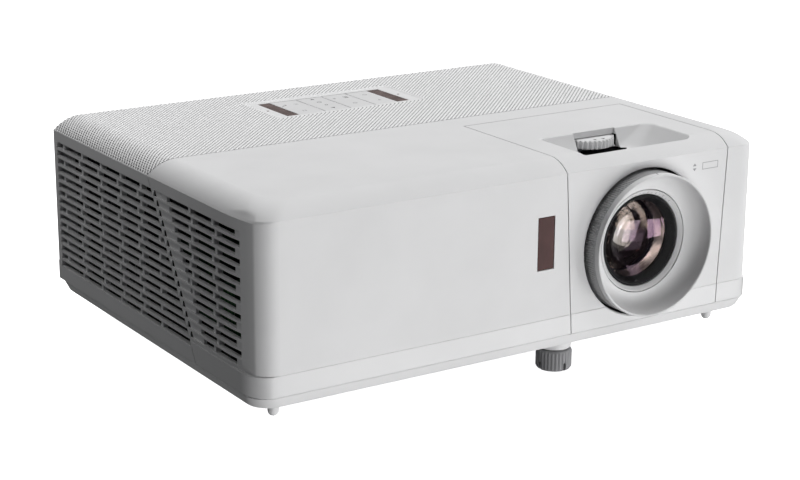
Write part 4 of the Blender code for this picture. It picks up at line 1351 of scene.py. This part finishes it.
def build_stage():
    mesh = bpy.data.meshes.new("floor")
    reach = 9.0
    mesh.from_pydata([(-reach, -reach, -0.0005), (reach, -reach, -0.0005), (reach, reach, -0.0005),
                      (-reach, reach, -0.0005)], [], [(0, 1, 2, 3)])
    floor = bpy.data.objects.new("floor", mesh)
    scene.collection.objects.link(floor)
    pale = bpy.data.materials.new("pale_floor")
    pale.use_nodes = True
    shader = pale.node_tree.nodes["Principled BSDF"]
    shader.inputs["Base Color"].default_value = (0.9, 0.9, 0.9, 1)
    shader.inputs["Roughness"].default_value = 0.9
    shader.inputs["Emission Color"].default_value = (1, 1, 1, 1)
    shader.inputs["Emission Strength"].default_value = 1.0
    mesh.materials.append(pale)
    floor.visible_diffuse = False
    floor.visible_glossy = False
    floor.visible_transmission = False
    floor.visible_shadow = False
    world = bpy.data.worlds.new("studio")
    scene.world = world
    world.use_nodes = True
    nodes, links = world.node_tree.nodes, world.node_tree.links
    seen = nodes["Background"]
    seen.inputs["Color"].default_value = (1, 1, 1, 1)
    seen.inputs["Strength"].default_value = 1.05
    dim = nodes.new("ShaderNodeBackground")
    dim.inputs["Color"].default_value = (0.95, 0.97, 1.0, 1)
    dim.inputs["Strength"].default_value = 0.04
    mix = nodes.new("ShaderNodeMixShader")
    path = nodes.new("ShaderNodeLightPath")
    links.new(path.outputs["Is Camera Ray"], mix.inputs["Fac"])
    links.new(dim.outputs["Background"], mix.inputs[1])
    links.new(seen.outputs["Background"], mix.inputs[2])
    links.new(mix.outputs["Shader"], nodes["World Output"].inputs["Surface"])


def area_light(name, azimuth, elevation, distance, size, power, glossy=False, target=(0.0, 0.0, 0.07)):
    """A soft light. Its azimuth is counted from the front towards the right, in degrees."""
    data = bpy.data.lights.new(name, "AREA")
    data.shape = "RECTANGLE"
    data.size, data.size_y = size
    data.energy = power
    light = bpy.data.objects.new(name, data)
    turn, rise = math.radians(azimuth), math.radians(elevation)
    away = Vector((math.sin(turn) * math.cos(rise), -math.cos(turn) * math.cos(rise), math.sin(rise)))
    light.location = Vector(target) + away * distance
    light.rotation_mode = "QUATERNION"
    light.rotation_quaternion = away.to_track_quat("Z", "Y")
    light.visible_glossy = glossy
    scene.collection.objects.link(light)


def build_lights():
    far = 3.8
    area_light("light_above", 100.0, 54.0, far, (2.4, 2.4), 157.0)
    area_light("light_low_front", 2.0, -24.0, far, (1.8, 1.8), 78.0)
    area_light("light_low_right", 48.0, -24.0, far, (1.8, 1.8), 48.0)
    area_light("light_high_right", 40.0, 35.0, far, (1.8, 1.8), 22.0)
    area_light("light_left", -90.0, 8.0, 1.6, (0.8, 0.6), 0.6)
    area_light("light_rear_left", -125.0, 52.0, 0.5, (0.35, 0.35), 0.5, target=(-0.187, 0.08, 0.10))
    area_light("card_front", 33.0, -16.0, 1.9, (0.75, 0.5), 0.8, glossy=True)
    scene.view_settings.view_transform = "Standard"
    scene.view_settings.look = "None"


build_front_cover()
build_lens_cover()
build_top_cover()
build_top_texture()
build_base_tray()
build_zoom_ring()
build_focus_ring()
build_lens()
build_dial()
build_keys()
build_feet()
build_back_panel()
build_sockets()
dress_kept_nodes()
build_front_marks()
build_stage()
build_lights()
